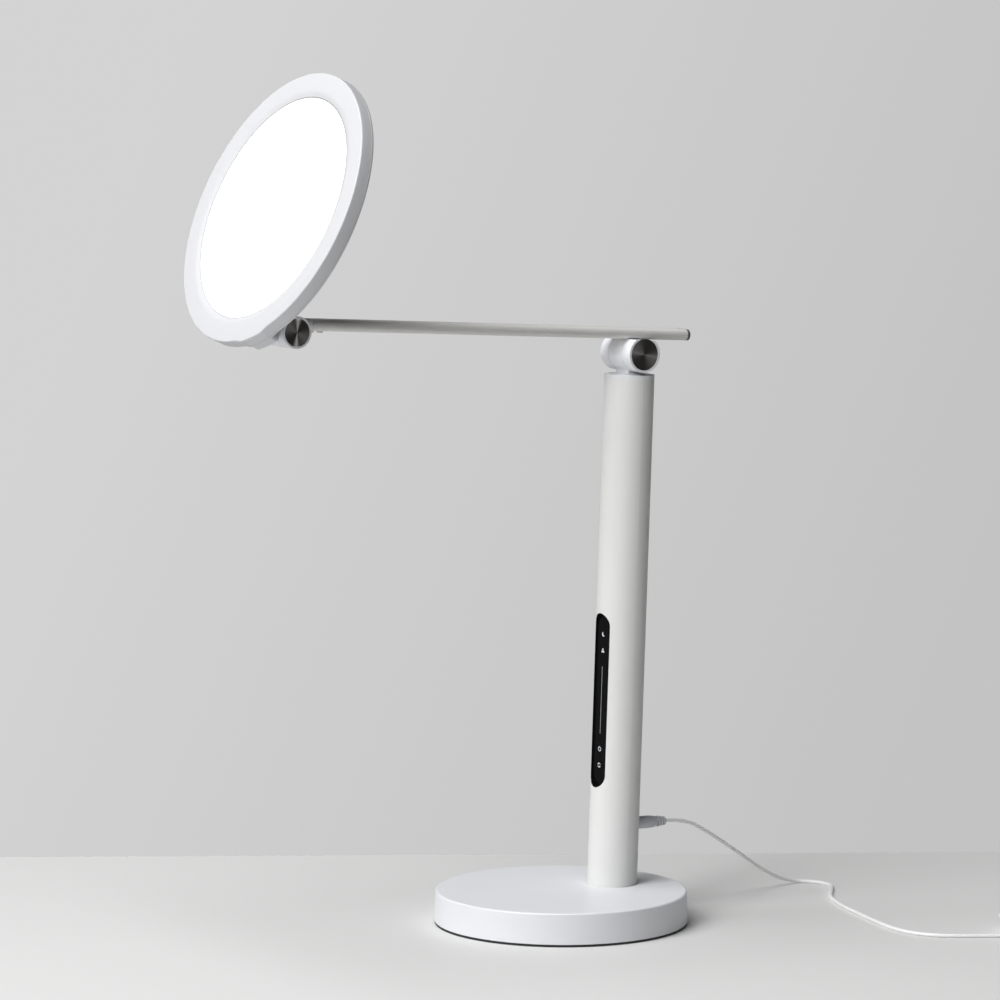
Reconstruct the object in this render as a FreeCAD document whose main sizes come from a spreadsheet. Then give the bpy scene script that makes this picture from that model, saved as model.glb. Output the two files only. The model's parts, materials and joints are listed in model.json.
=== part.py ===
import FreeCAD, Part
import Sketcher
import math
import os
import re

# Light therapy lamp: a round glowing panel on a tilting, turning head, carried by a flat
# arm that tilts on top of a round column standing near the back of a weighted disc base.
# Millimetres. Origin at the centre of the base's underside, +Z up, the lamp faces -Y.

V = FreeCAD.Vector
X_AXIS = V(1, 0, 0)
Y_AXIS = V(0, 1, 0)
Z_AXIS = V(0, 0, 1)

SIZES = {
    "base_radius": (100.0, "base cover, at its top edge"),
    "base_flare": (1.0, "how much wider the cover is at its foot"),
    "base_height": (26.4, "top face of the base above the table"),
    "base_wall": (2.5, "base cover wall"),
    "base_edge": (1.4, "rounding of the base's top edge"),
    "foot_height": (2.0, "rubber pad under the base"),
    "plate_thick": (1.5, "bottom plate"),
    "weight_margin": (7.5, "steel weight inside the cover's wall"),
    "weight_thick": (9.0, "steel weight"),
    "screw_circle": (70.0, "radius of the circle of base screws"),
    "screw_radius": (1.8, "shank of the base screws"),
    "screw_head": (3.6, "head of the base screws"),
    "screw_length": (17.0, "base screws, under the head"),
    "boss_radius": (4.5, "screw bosses under the cover's top"),
    "column_back": (48.9, "column axis behind the base's centre"),
    "column_lean": (1.9, "degrees that the column leans back"),
    "column_radius": (20.0, "column tube"),
    "column_wall": (2.0, "column tube"),
    "column_length": (409.4, "column above the base's top face"),
    "socket_radius": (32.0, "flange of the column's socket"),
    "socket_thick": (4.0, "flange of the column's socket"),
    "socket_wall": (3.0, "socket sleeve inside the column"),
    "socket_rise": (25.0, "socket sleeve above the base's top face"),
    "bolt_circle": (26.5, "radius of the circle of socket bolts"),
    "bolt_radius": (2.5, "shank of the socket bolts"),
    "bolt_head": (4.2, "head of the socket bolts"),
    "cap_thick": (3.0, "rim of the column's top cap"),
    "skirt_wall": (2.5, "skirt of the top cap inside the column"),
    "cap_depth": (12.0, "boss under the top cap"),
    "post_radius": (8.0, "swivel post in the top cap"),
    "disc_thick": (0.6, "slip disc between the neck and the column"),
    "strip_half": (10.0, "half the control strip's width across the column"),
    "strip_bottom": (78.8, "lower end of the control strip above the base"),
    "strip_top": (218.6, "upper end of the control strip above the base"),
    "strip_thick": (2.6, "control strip, across its thickness"),
    "strip_face": (16.4, "flat face of the control strip before the column's axis"),
    "strip_rim": (1.0, "rim round the control strip's flat face"),
    "board_thick": (1.6, "control board"),
    "board_inset": (7.2, "face of the control board behind the column's front"),
    "jack_height": (47.5, "power jack above the base's top face"),
    "jack_radius": (4.0, "power jack barrel"),
    "hinge_rise": (16.9, "arm hinge axis above the column's top"),
    "hinge_radius": (14.4, "barrel of the arm hinge"),
    "hinge_half": (20.7, "half the length of the arm hinge barrel"),
    "hinge_inner": (8.6, "half the width of the neck's knuckle"),
    "hinge_washer": (0.8, "friction washer between the knuckles"),
    "hinge_cap": (12.5, "spun metal cap on the arm hinge"),
    "shaft_radius": (4.0, "arm hinge shaft"),
    "arm_tilt": (3.7, "degrees that the arm rises towards the head"),
    "arm_reach": (316.0, "arm hinge axis to head hinge axis, along the arm"),
    "arm_tail": (49.0, "arm behind the arm hinge axis"),
    "arm_rise": (15.8, "middle of the arm above the arm hinge axis"),
    "arm_width": (23.8, "arm bar"),
    "arm_thick": (8.8, "arm bar"),
    "arm_wall": (1.5, "arm bar wall"),
    "arm_cap": (2.2, "end cap of the arm bar"),
    "tip_gap": (15.5, "end of the arm bar to the head hinge axis"),
    "tip_drop": (5.6, "head hinge axis below the middle of the arm"),
    "tip_radius": (12.4, "barrel of the head hinge"),
    "tip_half": (15.0, "half the length of the head hinge barrel"),
    "tip_inner": (5.0, "half the width of the head's knuckle"),
    "tip_cap": (10.8, "spun metal cap on the head hinge"),
    "pin_radius": (3.0, "head hinge shaft"),
    "cap_plate": (1.0, "thickness of the spun metal caps"),
    "head_lean": (24.2, "degrees that the panel faces up"),
    "head_turn": (21.6, "degrees that the panel is turned about its swivel"),
    "head_radius": (111.0, "head rim"),
    "head_depth": (12.0, "head rim, front to back"),
    "head_front": (32.8, "front of the head before the head hinge axis"),
    "swivel_inset": (17.5, "swivel axis inside the head's rim"),
    "head_wall": (2.5, "side wall of the bezel"),
    "head_edge": (1.2, "rounding of the head's edges"),
    "lip_thick": (1.5, "front ring of the bezel"),
    "ring_width": (19.5, "front ring of the bezel, rim to opening"),
    "diffuser_thick": (2.0, "milky front panel"),
    "guide_thick": (3.0, "clear light guide"),
    "sheet_thick": (0.5, "white reflector sheet"),
    "tray_thick": (0.8, "metal plate behind the reflector"),
    "panel_overlap": (2.5, "diffuser, light guide and reflector behind the ring"),
    "back_thick": (2.5, "back cover"),
    "chin_half": (14.0, "half the width of the chin"),
    "chin_bulge": (2.0, "chin beyond the rim"),
    "chin_depth": (18.0, "chin, front to back"),
    "swivel_radius": (4.0, "pin that the head turns on"),
    "plug_radius": (5.1, "moulded body of the power plug"),
    "plug_length": (19.5, "moulded body of the power plug"),
    "relief_length": (9.6, "ribbed strain relief of the plug"),
    "cord_radius": (1.5, "power cord"),
    "fit": (0.05, "running clearance round shafts"),
    "gap": (0.3, "clearance between shells"),
}

doc = FreeCAD.newDocument("TherapyLamp")
sheet = doc.addObject("Spreadsheet::Sheet", "Sizes")
for row, (alias, (number, meaning)) in enumerate(SIZES.items(), start=1):
    sheet.set(f"A{row}", meaning)
    sheet.set(f"B{row}", str(number))
    sheet.setAlias(f"B{row}", alias)
doc.recompute()

PIECES = []


def size(alias):
    return float(getattr(sheet, alias))


def formula(text):
    """Spell out the sheet for every size named in an expression."""
    def spelled(word):
        return "Sizes." + word.group() if word.group() in SIZES else word.group()
    return re.sub(r"[a-z_]+", spelled, text)


def number(text):
    """Value of a formula, worked out from the sheet."""
    answer = sheet.evalExpression(formula(text))
    return float(getattr(answer, "Value", answer))


def bind(thing, **formulas):
    for name, text in formulas.items():
        thing.setExpression(name, formula(text))


def place(thing, x="0", y="0", z="0", along="Z"):
    """Turn a primitive's axis along X, Y or Z and tie its position to the sheet."""
    turns = {"Z": (Z_AXIS, 0), "X": (Y_AXIS, 90), "Y": (X_AXIS, -90)}
    thing.Placement = FreeCAD.Placement(V(0, 0, 0), FreeCAD.Rotation(*turns[along]))
    for axis, text in (("x", x), ("y", y), ("z", z)):
        if text != "0":
            thing.setExpression(f"Placement.Base.{axis}", formula(text))
    return thing


def cylinder(radius, height, x="0", y="0", z="0", along="Z"):
    thing = doc.addObject("Part::Cylinder", "Round")
    bind(thing, Radius=radius, Height=height)
    return place(thing, x, y, z, along)


def block(length, width, height, x="0", y="0", z="0"):
    """A box centred on x and y, standing on z."""
    thing = doc.addObject("Part::Box", "Block")
    bind(thing, Length=length, Width=width, Height=height)
    return place(thing, f"{x} - ({length}) / 2", f"{y} - ({width}) / 2", z)


def fuse(*parts):
    thing = doc.addObject("Part::MultiFuse", "Joined")
    thing.Shapes = list(parts)
    return thing


def cut(base, *tools):
    thing = doc.addObject("Part::Cut", "Cut")
    thing.Base = base
    thing.Tool = tools[0] if len(tools) == 1 else fuse(*tools)
    return thing


def common(base, tool):
    thing = doc.addObject("Part::Common", "Shared")
    thing.Base = base
    thing.Tool = tool
    return thing


def group(*parts):
    """Separate solids that share one node."""
    thing = doc.addObject("Part::Compound", "Group")
    thing.Links = list(parts)
    return thing


def moved(thing, frame):
    """Stand a shape that was made in a frame's own coordinates in its place."""
    whole = group(thing)
    whole.Placement = frame
    return whole


def origin_plane(body, role):
    return next(item for item in body.Origin.OriginFeatures if item.Role == role)


def turned(name, outline):
    """Body of revolution about Z: the outline's corners are (radius, height) formulas."""
    body = doc.addObject("PartDesign::Body", name)
    sketch = body.newObject("Sketcher::SketchObject", name + "_outline")
    sketch.AttachmentSupport = [(origin_plane(body, "XZ_Plane"), "")]
    sketch.MapMode = "FlatFace"
    corners = [V(number(r), number(h), 0) for r, h in outline]
    count = len(corners)
    for index in range(count):
        sketch.addGeometry(Part.LineSegment(corners[index], corners[(index + 1) % count]))
    for index in range(count):
        sketch.addConstraint(Sketcher.Constraint("Coincident", index, 2, (index + 1) % count, 1))
    for index, (radius, height) in enumerate(outline):
        for kind, text, axis in (("DistanceX", radius, -2), ("DistanceY", height, -1)):
            if abs(number(text)) < 1e-9:
                sketch.addConstraint(Sketcher.Constraint("PointOnObject", index, 1, axis))
                continue
            mark = sketch.addConstraint(Sketcher.Constraint(kind, -1, 1, index, 1, number(text)))
            sketch.renameConstraint(mark, f"{kind}{index}")
            sketch.setExpression(f"Constraints.{kind}{index}", formula(text))
    spin = body.newObject("PartDesign::Revolution", name + "_turned")
    spin.Profile = sketch
    spin.ReferenceAxis = (sketch, ["V_Axis"])
    spin.Angle = 360
    doc.recompute()
    return body


def rounded(thing, radius, chosen):
    """Round the edges of a finished shape that the test chooses."""
    doc.recompute()
    smooth = doc.addObject("Part::Fillet", "Rounded")
    smooth.Base = thing
    smooth.Edges = [(index, size(radius), size(radius))
                    for index, edge in enumerate(thing.Shape.Edges, start=1) if chosen(edge)]
    return smooth


def circle_at(radius, height, axis="z"):
    """Test for a full circular edge of a given radius at a given height."""
    def chosen(edge):
        curve = edge.Curve
        return (isinstance(curve, Part.Circle) and abs(curve.Radius - radius) < 0.01
                and abs(getattr(curve.Center, axis) - height) < 0.01)
    return chosen


def piece(label, thing, frame=None):
    """Name a finished sub-part and stand it in its place."""
    if frame is not None:
        thing = moved(thing, frame)
    thing.Label = label
    PIECES.append(thing)
    return thing


def shaped(label, shape, frame=None):
    thing = doc.addObject("Part::Feature", "Shaped")
    thing.Shape = shape
    if frame is not None:
        thing.Placement = frame
    thing.Label = label
    PIECES.append(thing)
    return thing


# Frames: the column leans back, the arm tilts on it, and the head tilts and turns on the arm.
COLUMN = FreeCAD.Placement(V(0, size("column_back"), size("base_height")),
                           FreeCAD.Rotation(X_AXIS, -size("column_lean")))
ARM = FreeCAD.Placement(COLUMN.multVec(V(0, 0, size("column_length") + size("hinge_rise"))),
                        FreeCAD.Rotation(X_AXIS, -size("arm_tilt")))
KNUCKLE = FreeCAD.Placement(ARM.multVec(V(0, -size("arm_reach"), size("arm_rise") - size("tip_drop"))),
                            FreeCAD.Rotation(X_AXIS, -size("head_lean")))
HEAD = KNUCKLE.multiply(FreeCAD.Placement(V(0, 0, 0), FreeCAD.Rotation(Y_AXIS, -size("head_turn"))))
# The panel's own frame: its turning axis is Z here, which points out of the back of the head,
# and +Y points away from the chin.
PANEL_MIDDLE = V(0, -size("head_front"), size("head_radius") - size("swivel_inset"))
PANEL = HEAD.multiply(FreeCAD.Placement(PANEL_MIDDLE, FreeCAD.Rotation(V(0, 1, 1), 180)))


def ring_spots(radius, count, start=45.0):
    """Formulas of places spread evenly on a circle."""
    for step in range(count):
        angle = math.radians(start + step * 360.0 / count)
        yield f"({radius}) * {math.cos(angle):.6f}", f"({radius}) * {math.sin(angle):.6f}"


# Base
WEIGHT_RADIUS = "(base_radius - base_wall - weight_margin)"
WEIGHT_Z = "foot_height + plate_thick"
WEIGHT_TOP = "foot_height + plate_thick + weight_thick"
SOCKET_TOP = WEIGHT_TOP + " + socket_thick"


def base_cover():
    shell = turned("CoverShell", [
        ("0", "base_height"),
        ("base_radius", "base_height"),
        ("base_radius + base_flare", "foot_height"),
        ("base_radius + base_flare - base_wall", "foot_height"),
        ("base_radius - base_wall", "base_height - base_wall"),
        ("0", "base_height - base_wall"),
    ])
    soft = rounded(shell, "base_edge", circle_at(size("base_radius"), size("base_height")))
    bosses = [cylinder("boss_radius", f"base_height - base_wall - ({WEIGHT_TOP}) + 0.01", x, y, WEIGHT_TOP)
              for x, y in ring_spots("screw_circle", 4)]
    pilots = [cylinder("screw_radius + fit", "screw_length", x, y, "foot_height")
              for x, y in ring_spots("screw_circle", 4)]
    hole = moved(cylinder("column_radius + gap", "base_height", z="0 - base_height / 2"), COLUMN)
    piece("base_cover", cut(fuse(soft, *bosses), *pilots, hole))


def foot_pad():
    """Rubber pad under the whole base; pockets in it clear the heads of the base screws."""
    pad = cylinder("base_radius + base_flare - gap", "foot_height")
    pockets = [cylinder("screw_head + gap", "foot_height", x, y, "foot_height * 0.25")
               for x, y in ring_spots("screw_circle", 4)]
    piece("rubber_foot_pad", cut(pad, *pockets))


def bottom_plate():
    plate = cylinder("base_radius + base_flare - base_wall - gap", "plate_thick", z="foot_height")
    holes = [cylinder("screw_radius + gap", "plate_thick * 3", x, y, "foot_height - plate_thick")
             for x, y in ring_spots("screw_circle", 4)]
    piece("bottom_plate", cut(plate, *holes))


def bolt_spots():
    for x, y in ring_spots("bolt_circle", 3, 30.0):
        yield x, f"column_back + {y}"


def base_weight():
    disc = cylinder(WEIGHT_RADIUS, "weight_thick", z=WEIGHT_Z)
    screws = [cylinder("screw_radius + gap", "weight_thick * 3", x, y, "0 - weight_thick")
              for x, y in ring_spots("screw_circle", 4)]
    bolts = [cylinder("bolt_radius + fit", "weight_thick * 3", x, y, "0 - weight_thick")
             for x, y in bolt_spots()]
    piece("base_weight", cut(disc, *screws, *bolts))


def base_screws():
    screws = []
    for x, y in ring_spots("screw_circle", 4):
        head = cylinder("screw_head", "foot_height * 0.7", x, y, "foot_height * 0.3")
        shank = cylinder("screw_radius", "screw_length - gap", x, y, "foot_height")
        screws.append(fuse(head, shank))
    piece("base_screws", group(*screws))


def column_socket():
    flange = cylinder("socket_radius", "socket_thick", y="column_back", z=WEIGHT_TOP)
    holes = [cylinder("bolt_radius + fit", "socket_thick * 3", x, y, f"{WEIGHT_TOP} - socket_thick")
             for x, y in bolt_spots()]
    low = f"{WEIGHT_TOP} + 1 - base_height"
    sleeve = moved(cylinder("column_radius - column_wall - fit", f"socket_rise - ({low})", z=low), COLUMN)
    bore = moved(cylinder("column_radius - column_wall - socket_wall", "socket_rise * 4",
                          z="0 - socket_rise * 2"), COLUMN)
    piece("column_socket", cut(fuse(flange, sleeve), bore, *holes))


def socket_bolts():
    bolts = []
    for x, y in bolt_spots():
        head = cylinder("bolt_head", "bolt_radius * 1.3", x, y, SOCKET_TOP)
        shank = cylinder("bolt_radius", "socket_thick + weight_thick - gap", x, y, f"{WEIGHT_Z} + gap")
        bolts.append(fuse(head, shank))
    piece("socket_bolts", group(*bolts))


# Column, in its own leaning frame
COLUMN_FOOT = SOCKET_TOP + " + 1 - base_height"


def strip_window(margin, reach="column_radius"):
    """Upright slot with round ends, cut straight into the column's front wall."""
    half = f"strip_half + {margin}"
    outside = "0 - column_radius * 1.5"
    low = cylinder(half, reach, y=outside, z="strip_bottom + strip_half", along="Y")
    top = cylinder(half, reach, y=outside, z="strip_top - strip_half", along="Y")
    middle = block(f"({half}) * 2", reach, "strip_top - strip_bottom - strip_half * 2",
                   y=f"{outside} + ({reach}) / 2", z="strip_bottom + strip_half")
    return fuse(low, middle, top)


def column_tube():
    outer = cylinder("column_radius", f"column_length - cap_thick - ({COLUMN_FOOT})", z=COLUMN_FOOT)
    inner = cylinder("column_radius - column_wall", "column_length * 2", z="0 - column_length / 2")
    jack = cylinder("jack_radius + gap", "column_radius * 2", z="jack_height", along="Y")
    piece("column_tube", cut(outer, inner, strip_window("0.15"), jack), COLUMN)


def control_strip():
    """Gloss panel with a flat face sunk in a rim that is flush with the column."""
    skin = cylinder("column_radius", "column_length")
    behind = block("column_radius * 2", "column_radius", "column_length",
                   y="0 - strip_face + strip_thick + column_radius / 2")
    panel = common(cut(skin, behind), strip_window("0"))
    hollow = strip_window("0 - strip_rim", "column_radius * 1.5 - strip_face")
    behind_face = "strip_face - 1 - column_radius + board_inset"
    pegs = [cylinder("2", behind_face, y="0 - strip_face + 1", z=z, along="Y")
            for z in ("strip_bottom + 16", "strip_top - 16")]
    piece("control_strip", fuse(cut(panel, hollow), *pegs), COLUMN)


def control_board():
    board = block("15", "board_thick", "strip_top - strip_bottom - 14",
                  y="0 - column_radius + board_inset + board_thick / 2", z="strip_bottom + 7")
    chips = [block("6", "1.2", "8", y="0 - column_radius + board_inset + board_thick + 0.6",
                   z=f"strip_bottom + {rise}")
             for rise in (24, 60, 96)]
    piece("control_board", fuse(board, *chips), COLUMN)


def dc_jack():
    barrel = cylinder("jack_radius", "column_radius - 8", y="8", z="jack_height", along="Y")
    bore = cylinder("jack_radius - 1.2", "column_radius", y="12", z="jack_height", along="Y")
    piece("dc_jack", cut(barrel, bore), COLUMN)
    nut = cylinder("jack_radius + 2", "2", y="column_radius - column_wall - 3.2", z="jack_height", along="Y")
    eye = cylinder("jack_radius + fit", "column_radius", z="jack_height", along="Y")
    piece("jack_nut", cut(nut, eye), COLUMN)


def column_cap():
    rim = cylinder("column_radius", "cap_thick", z="column_length - cap_thick")
    skirt = cylinder("column_radius - column_wall - fit", "cap_depth", z="column_length - cap_depth")
    hollow = cylinder("column_radius - column_wall - skirt_wall", "cap_depth",
                      z="column_length - cap_depth - cap_thick")
    boss = cylinder("post_radius + 4", "cap_depth", z="column_length - cap_depth")
    bore = cylinder("post_radius + fit", "cap_depth * 3", z="column_length - cap_depth * 2")
    shell = fuse(cut(fuse(rim, skirt), hollow), boss)
    piece("column_cap", cut(shell, bore), COLUMN)


# Neck: turns on the column's top and carries the arm hinge's middle knuckle
HINGE_Z = "column_length + hinge_rise"


def hinge_neck():
    knuckle = cylinder("hinge_radius", "hinge_inner * 2", x="0 - hinge_inner", z=HINGE_Z, along="X")
    stem = block("hinge_inner * 2", "14", "hinge_rise - disc_thick", z="column_length + disc_thick")
    post = cylinder("post_radius", "cap_depth + 8 + disc_thick", z="column_length - cap_depth - 8")
    bore = cylinder("shaft_radius + fit", "hinge_half * 2", x="0 - hinge_half", z=HINGE_Z, along="X")
    piece("hinge_neck", cut(fuse(knuckle, stem, post), bore), COLUMN)


def swivel_stack():
    disc = cut(cylinder("post_radius + 5", "disc_thick", z="column_length"),
               cylinder("post_radius + gap", "4", z="column_length - 2"))
    piece("swivel_disc", disc, COLUMN)
    washer = cut(cylinder("post_radius + 3.5", "1", z="column_length - cap_depth - 1"),
                 cylinder("post_radius + fit", "4", z="column_length - cap_depth - 3"))
    piece("swivel_washer", washer, COLUMN)
    nut = doc.addObject("Part::Prism", "Hexagon")
    nut.Polygon = 6
    bind(nut, Circumradius="post_radius + 4.5", Height="5")
    place(nut, z="column_length - cap_depth - 6")
    eye = cylinder("post_radius + fit", "20", z="column_length - cap_depth - 12")
    piece("swivel_nut", cut(nut, eye), COLUMN)


# Arm hinge and arm, in the arm's frame
def cheek(side):
    """Outer knuckle of the arm hinge, flat on top where the arm sits on it."""
    inner = "hinge_inner + hinge_washer"
    start = inner if side > 0 else "0 - hinge_half"
    body = cylinder("hinge_radius", f"hinge_half - ({inner})", x=start, along="X")
    bore = cylinder("shaft_radius + fit", "hinge_half * 2", x="0 - hinge_half", along="X")
    pocket_start = "hinge_half - 6" if side > 0 else "0 - hinge_half - 1"
    pocket = cylinder("shaft_radius + 5", "7", x=pocket_start, along="X")
    recess_start = "hinge_half - cap_plate" if side > 0 else "0 - hinge_half - 1"
    recess = cylinder("hinge_cap + fit", "cap_plate + 1", x=recess_start, along="X")
    seat = block("hinge_half * 3", "hinge_radius * 3", "hinge_radius", z="arm_rise - arm_thick / 2")
    return cut(body, bore, pocket, recess, seat)


def arm_hinge():
    piece("hinge_cheek_right", cheek(1), ARM)
    piece("hinge_cheek_left", cheek(-1), ARM)
    shaft = cylinder("shaft_radius", "(hinge_half - 2) * 2", x="0 - hinge_half + 2", along="X")
    piece("hinge_shaft", shaft, ARM)
    washers = []
    nuts = []
    for side in (1, -1):
        washer_start = "hinge_inner" if side > 0 else "0 - hinge_inner - hinge_washer"
        disc = cylinder("arm_rise - arm_thick / 2 - gap", "hinge_washer", x=washer_start, along="X")
        eye = cylinder("shaft_radius + fit", "hinge_half * 2", x="0 - hinge_half", along="X")
        washers.append(cut(disc, eye))
        nut = doc.addObject("Part::Prism", "Hexagon")
        nut.Polygon = 6
        bind(nut, Circumradius="shaft_radius + 3.6", Height="4")
        place(nut, x="hinge_half - 6" if side > 0 else "0 - hinge_half + 2", along="X")
        hole = cylinder("shaft_radius + fit", "hinge_half * 2", x="0 - hinge_half", along="X")
        nuts.append(cut(nut, hole))
        cap_start = "hinge_half - cap_plate" if side > 0 else "0 - hinge_half"
        cap = cylinder("hinge_cap", "cap_plate", x=cap_start, along="X")
        piece("hinge_cap_right" if side > 0 else "hinge_cap_left", cap, ARM)
    piece("hinge_washers", group(*washers), ARM)
    piece("hinge_nuts", group(*nuts), ARM)


ARM_END = "arm_reach - tip_gap"
INNER_WIDTH = "arm_width - arm_wall * 2"
INNER_THICK = "arm_thick - arm_wall * 2"


def bar(length, width, thick, y, z):
    """Flat bar along Y with half round sides."""
    core = block(f"({width}) - ({thick})", length, thick, y=y, z=f"{z} - ({thick}) / 2")
    sides = [cylinder(f"({thick}) / 2", length, x=f"{sign} * (({width}) - ({thick})) / 2",
                      y=f"{y} - ({length}) / 2", z=z, along="Y") for sign in (1, -1)]
    return fuse(core, *sides)


def tip_screw_spots():
    return [f"0 - ({ARM_END}) + {step}" for step in (5, 13)]


def arm_bar():
    length = f"{ARM_END} + arm_tail - arm_cap"
    middle = f"(arm_tail - arm_cap - ({ARM_END})) / 2"
    outer = bar(length, "arm_width", "arm_thick", middle, "arm_rise")
    hollow = bar(f"{length} + 10", INNER_WIDTH, INNER_THICK, middle, "arm_rise")
    notch = cylinder("hinge_radius + gap", "hinge_inner * 2 + hinge_washer", along="X",
                     x="0 - hinge_inner - hinge_washer / 2")
    saddles = [block("4", "16", "arm_thick - arm_wall", x=x, z="arm_rise - arm_thick / 2 + arm_wall / 2")
               for x in ("0 - arm_width / 2 + 4.6", "arm_width / 2 - 4.6")]
    holes = [cylinder("1.5", "arm_thick", y=y, z="arm_rise - arm_thick") for y in tip_screw_spots()]
    piece("arm_bar", cut(outer, cut(hollow, *saddles), notch, *holes), ARM)
    plate = bar("arm_cap", "arm_width", "arm_thick", "arm_tail - arm_cap / 2", "arm_rise")
    tongue = bar("6.01", f"{INNER_WIDTH} - gap", f"{INNER_THICK} - gap",
                 "arm_tail - arm_cap - 3", "arm_rise")
    piece("arm_end_cap", fuse(plate, tongue), ARM)


AT_TIP = {"y": "0 - arm_reach", "z": "arm_rise - tip_drop", "along": "X"}


def arm_tip():
    """Fork at the end of the arm: two outer knuckles and a tongue inside the bar."""
    inner = "tip_inner + gap"
    ears = [cylinder("tip_radius", f"tip_half - ({inner})", x=start, **AT_TIP)
            for start in (inner, "0 - tip_half")]
    root = bar("tip_gap", "arm_width - 1", "arm_thick - 0.8", "0 - arm_reach + tip_gap / 2", "arm_rise")
    tongue = bar("18.01", f"{INNER_WIDTH} - gap", f"{INNER_THICK} - gap",
                 "0 - arm_reach + tip_gap + 9", "arm_rise")
    slot = cylinder("tip_radius + gap", f"({inner}) * 2", x=f"0 - ({inner})", **AT_TIP)
    bore = cylinder("pin_radius + fit", "tip_half * 2", x="0 - tip_half", **AT_TIP)
    pockets = [cylinder("pin_radius + 3.6", "5", x=start, **AT_TIP)
               for start in ("tip_half - 4.5", "0 - tip_half - 0.5")]
    recesses = [cylinder("tip_cap + fit", "cap_plate + 1", x=start, **AT_TIP)
                for start in ("tip_half - cap_plate", "0 - tip_half - 1")]
    holes = [cylinder("1.3", "arm_thick * 1.2", y=y, z="arm_rise - arm_thick") for y in tip_screw_spots()]
    fork = fuse(*ears, root, tongue)
    piece("arm_tip", cut(fork, slot, bore, *pockets, *recesses, *holes), ARM)


def tip_hinge():
    shaft = cylinder("pin_radius", "(tip_half - 1.5) * 2", x="0 - tip_half + 1.5", **AT_TIP)
    piece("head_shaft", shaft, ARM)
    nuts = []
    for side in (1, -1):
        nut = doc.addObject("Part::Prism", "Hexagon")
        nut.Polygon = 6
        bind(nut, Circumradius="pin_radius + 3.2", Height="2.8")
        place(nut, x="tip_half - 4.5" if side > 0 else "0 - tip_half + 1.7", **AT_TIP)
        nuts.append(cut(nut, cylinder("pin_radius + fit", "tip_half * 2", x="0 - tip_half", **AT_TIP)))
        start = "tip_half - cap_plate" if side > 0 else "0 - tip_half"
        cap = cylinder("tip_cap", "cap_plate", x=start, **AT_TIP)
        piece("head_cap_right" if side > 0 else "head_cap_left", cap, ARM)
    piece("head_nuts", group(*nuts), ARM)


def screw(x, y, z, head, shank, length, down=1):
    """Round headed screw along Z, its head below when down is 1 and above when it is -1."""
    top = cylinder(head, "1.6", x, y, f"{z} - 1.6" if down > 0 else z)
    stem = cylinder(shank, length, x, y, z if down > 0 else f"{z} - ({length})")
    return fuse(top, stem)


def tip_screws():
    screws = [screw("0", y, "arm_rise - arm_thick / 2", "2.4", "1.2", "5") for y in tip_screw_spots()]
    piece("tip_screws", group(*screws), ARM)


# Head: a knuckle with a swivel pin, then the round head that turns on it
def head_knuckle():
    barrel = cylinder("tip_radius", "tip_inner * 2", x="0 - tip_inner", along="X")
    flange = cylinder("7.5", "head_front - chin_depth - 5", y="0 - (head_front - chin_depth)", along="Y")
    pin = cylinder("swivel_radius", "12", y="0 - (head_front - chin_depth) - 7.7", along="Y")
    bore = cylinder("pin_radius + fit", "tip_half * 2", x="0 - tip_half", along="X")
    waist = common(flange, cylinder("tip_radius * 4", "tip_inner * 2", x="0 - tip_inner", along="X"))
    piece("head_knuckle", cut(fuse(barrel, waist, pin), bore), KNUCKLE)
    nut = cylinder("7.5", "3.2", y="0 - (head_front - chin_depth) - 7.2", along="Y")
    eye = cylinder("swivel_radius + fit", "40", y="0 - head_front", along="Y")
    piece("swivel_retainer", cut(nut, eye), KNUCKLE)


# In the panel's frame Z = 0 is the front of the head and +Z runs to its back.
def chin(depth, start):
    """Block that bulges a little from the rim where the head is carried."""
    bulk = block("chin_half * 2", "chin_half * 2", depth, y="0 - head_radius + chin_half / 2", z=start)
    trim = cylinder("head_radius + chin_bulge", "chin_depth * 3", z="0 - chin_depth")
    return common(bulk, trim)


BEZEL_DEPTH = "head_depth - back_thick"
WINDOW_RADIUS = "(head_radius - ring_width)"
PANEL_RADIUS = "(head_radius - ring_width + panel_overlap)"


def screw_ring():
    return ring_spots("head_radius - 8", 6, 0.0)


def head_bezel():
    shell = turned("BezelShell", [
        (WINDOW_RADIUS, "0"),
        ("head_radius", "0"),
        ("head_radius", BEZEL_DEPTH),
        ("head_radius - head_wall", BEZEL_DEPTH),
        ("head_radius - head_wall", "lip_thick"),
        (WINDOW_RADIUS, "lip_thick"),
    ])
    core = cylinder("head_radius - head_wall - 9", "head_depth * 3", z="lip_thick")
    bosses = [cylinder("3.5", f"{BEZEL_DEPTH} - 0.2", x, y, "0.2") for x, y in screw_ring()]
    front = chin(BEZEL_DEPTH, "0")
    body = fuse(shell, cut(front, core), *bosses)
    holes = [cylinder("1.3", "head_depth", x, y, "lip_thick + 1") for x, y in screw_ring()]
    piece("head_bezel", cut(body, *holes), PANEL)


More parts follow.
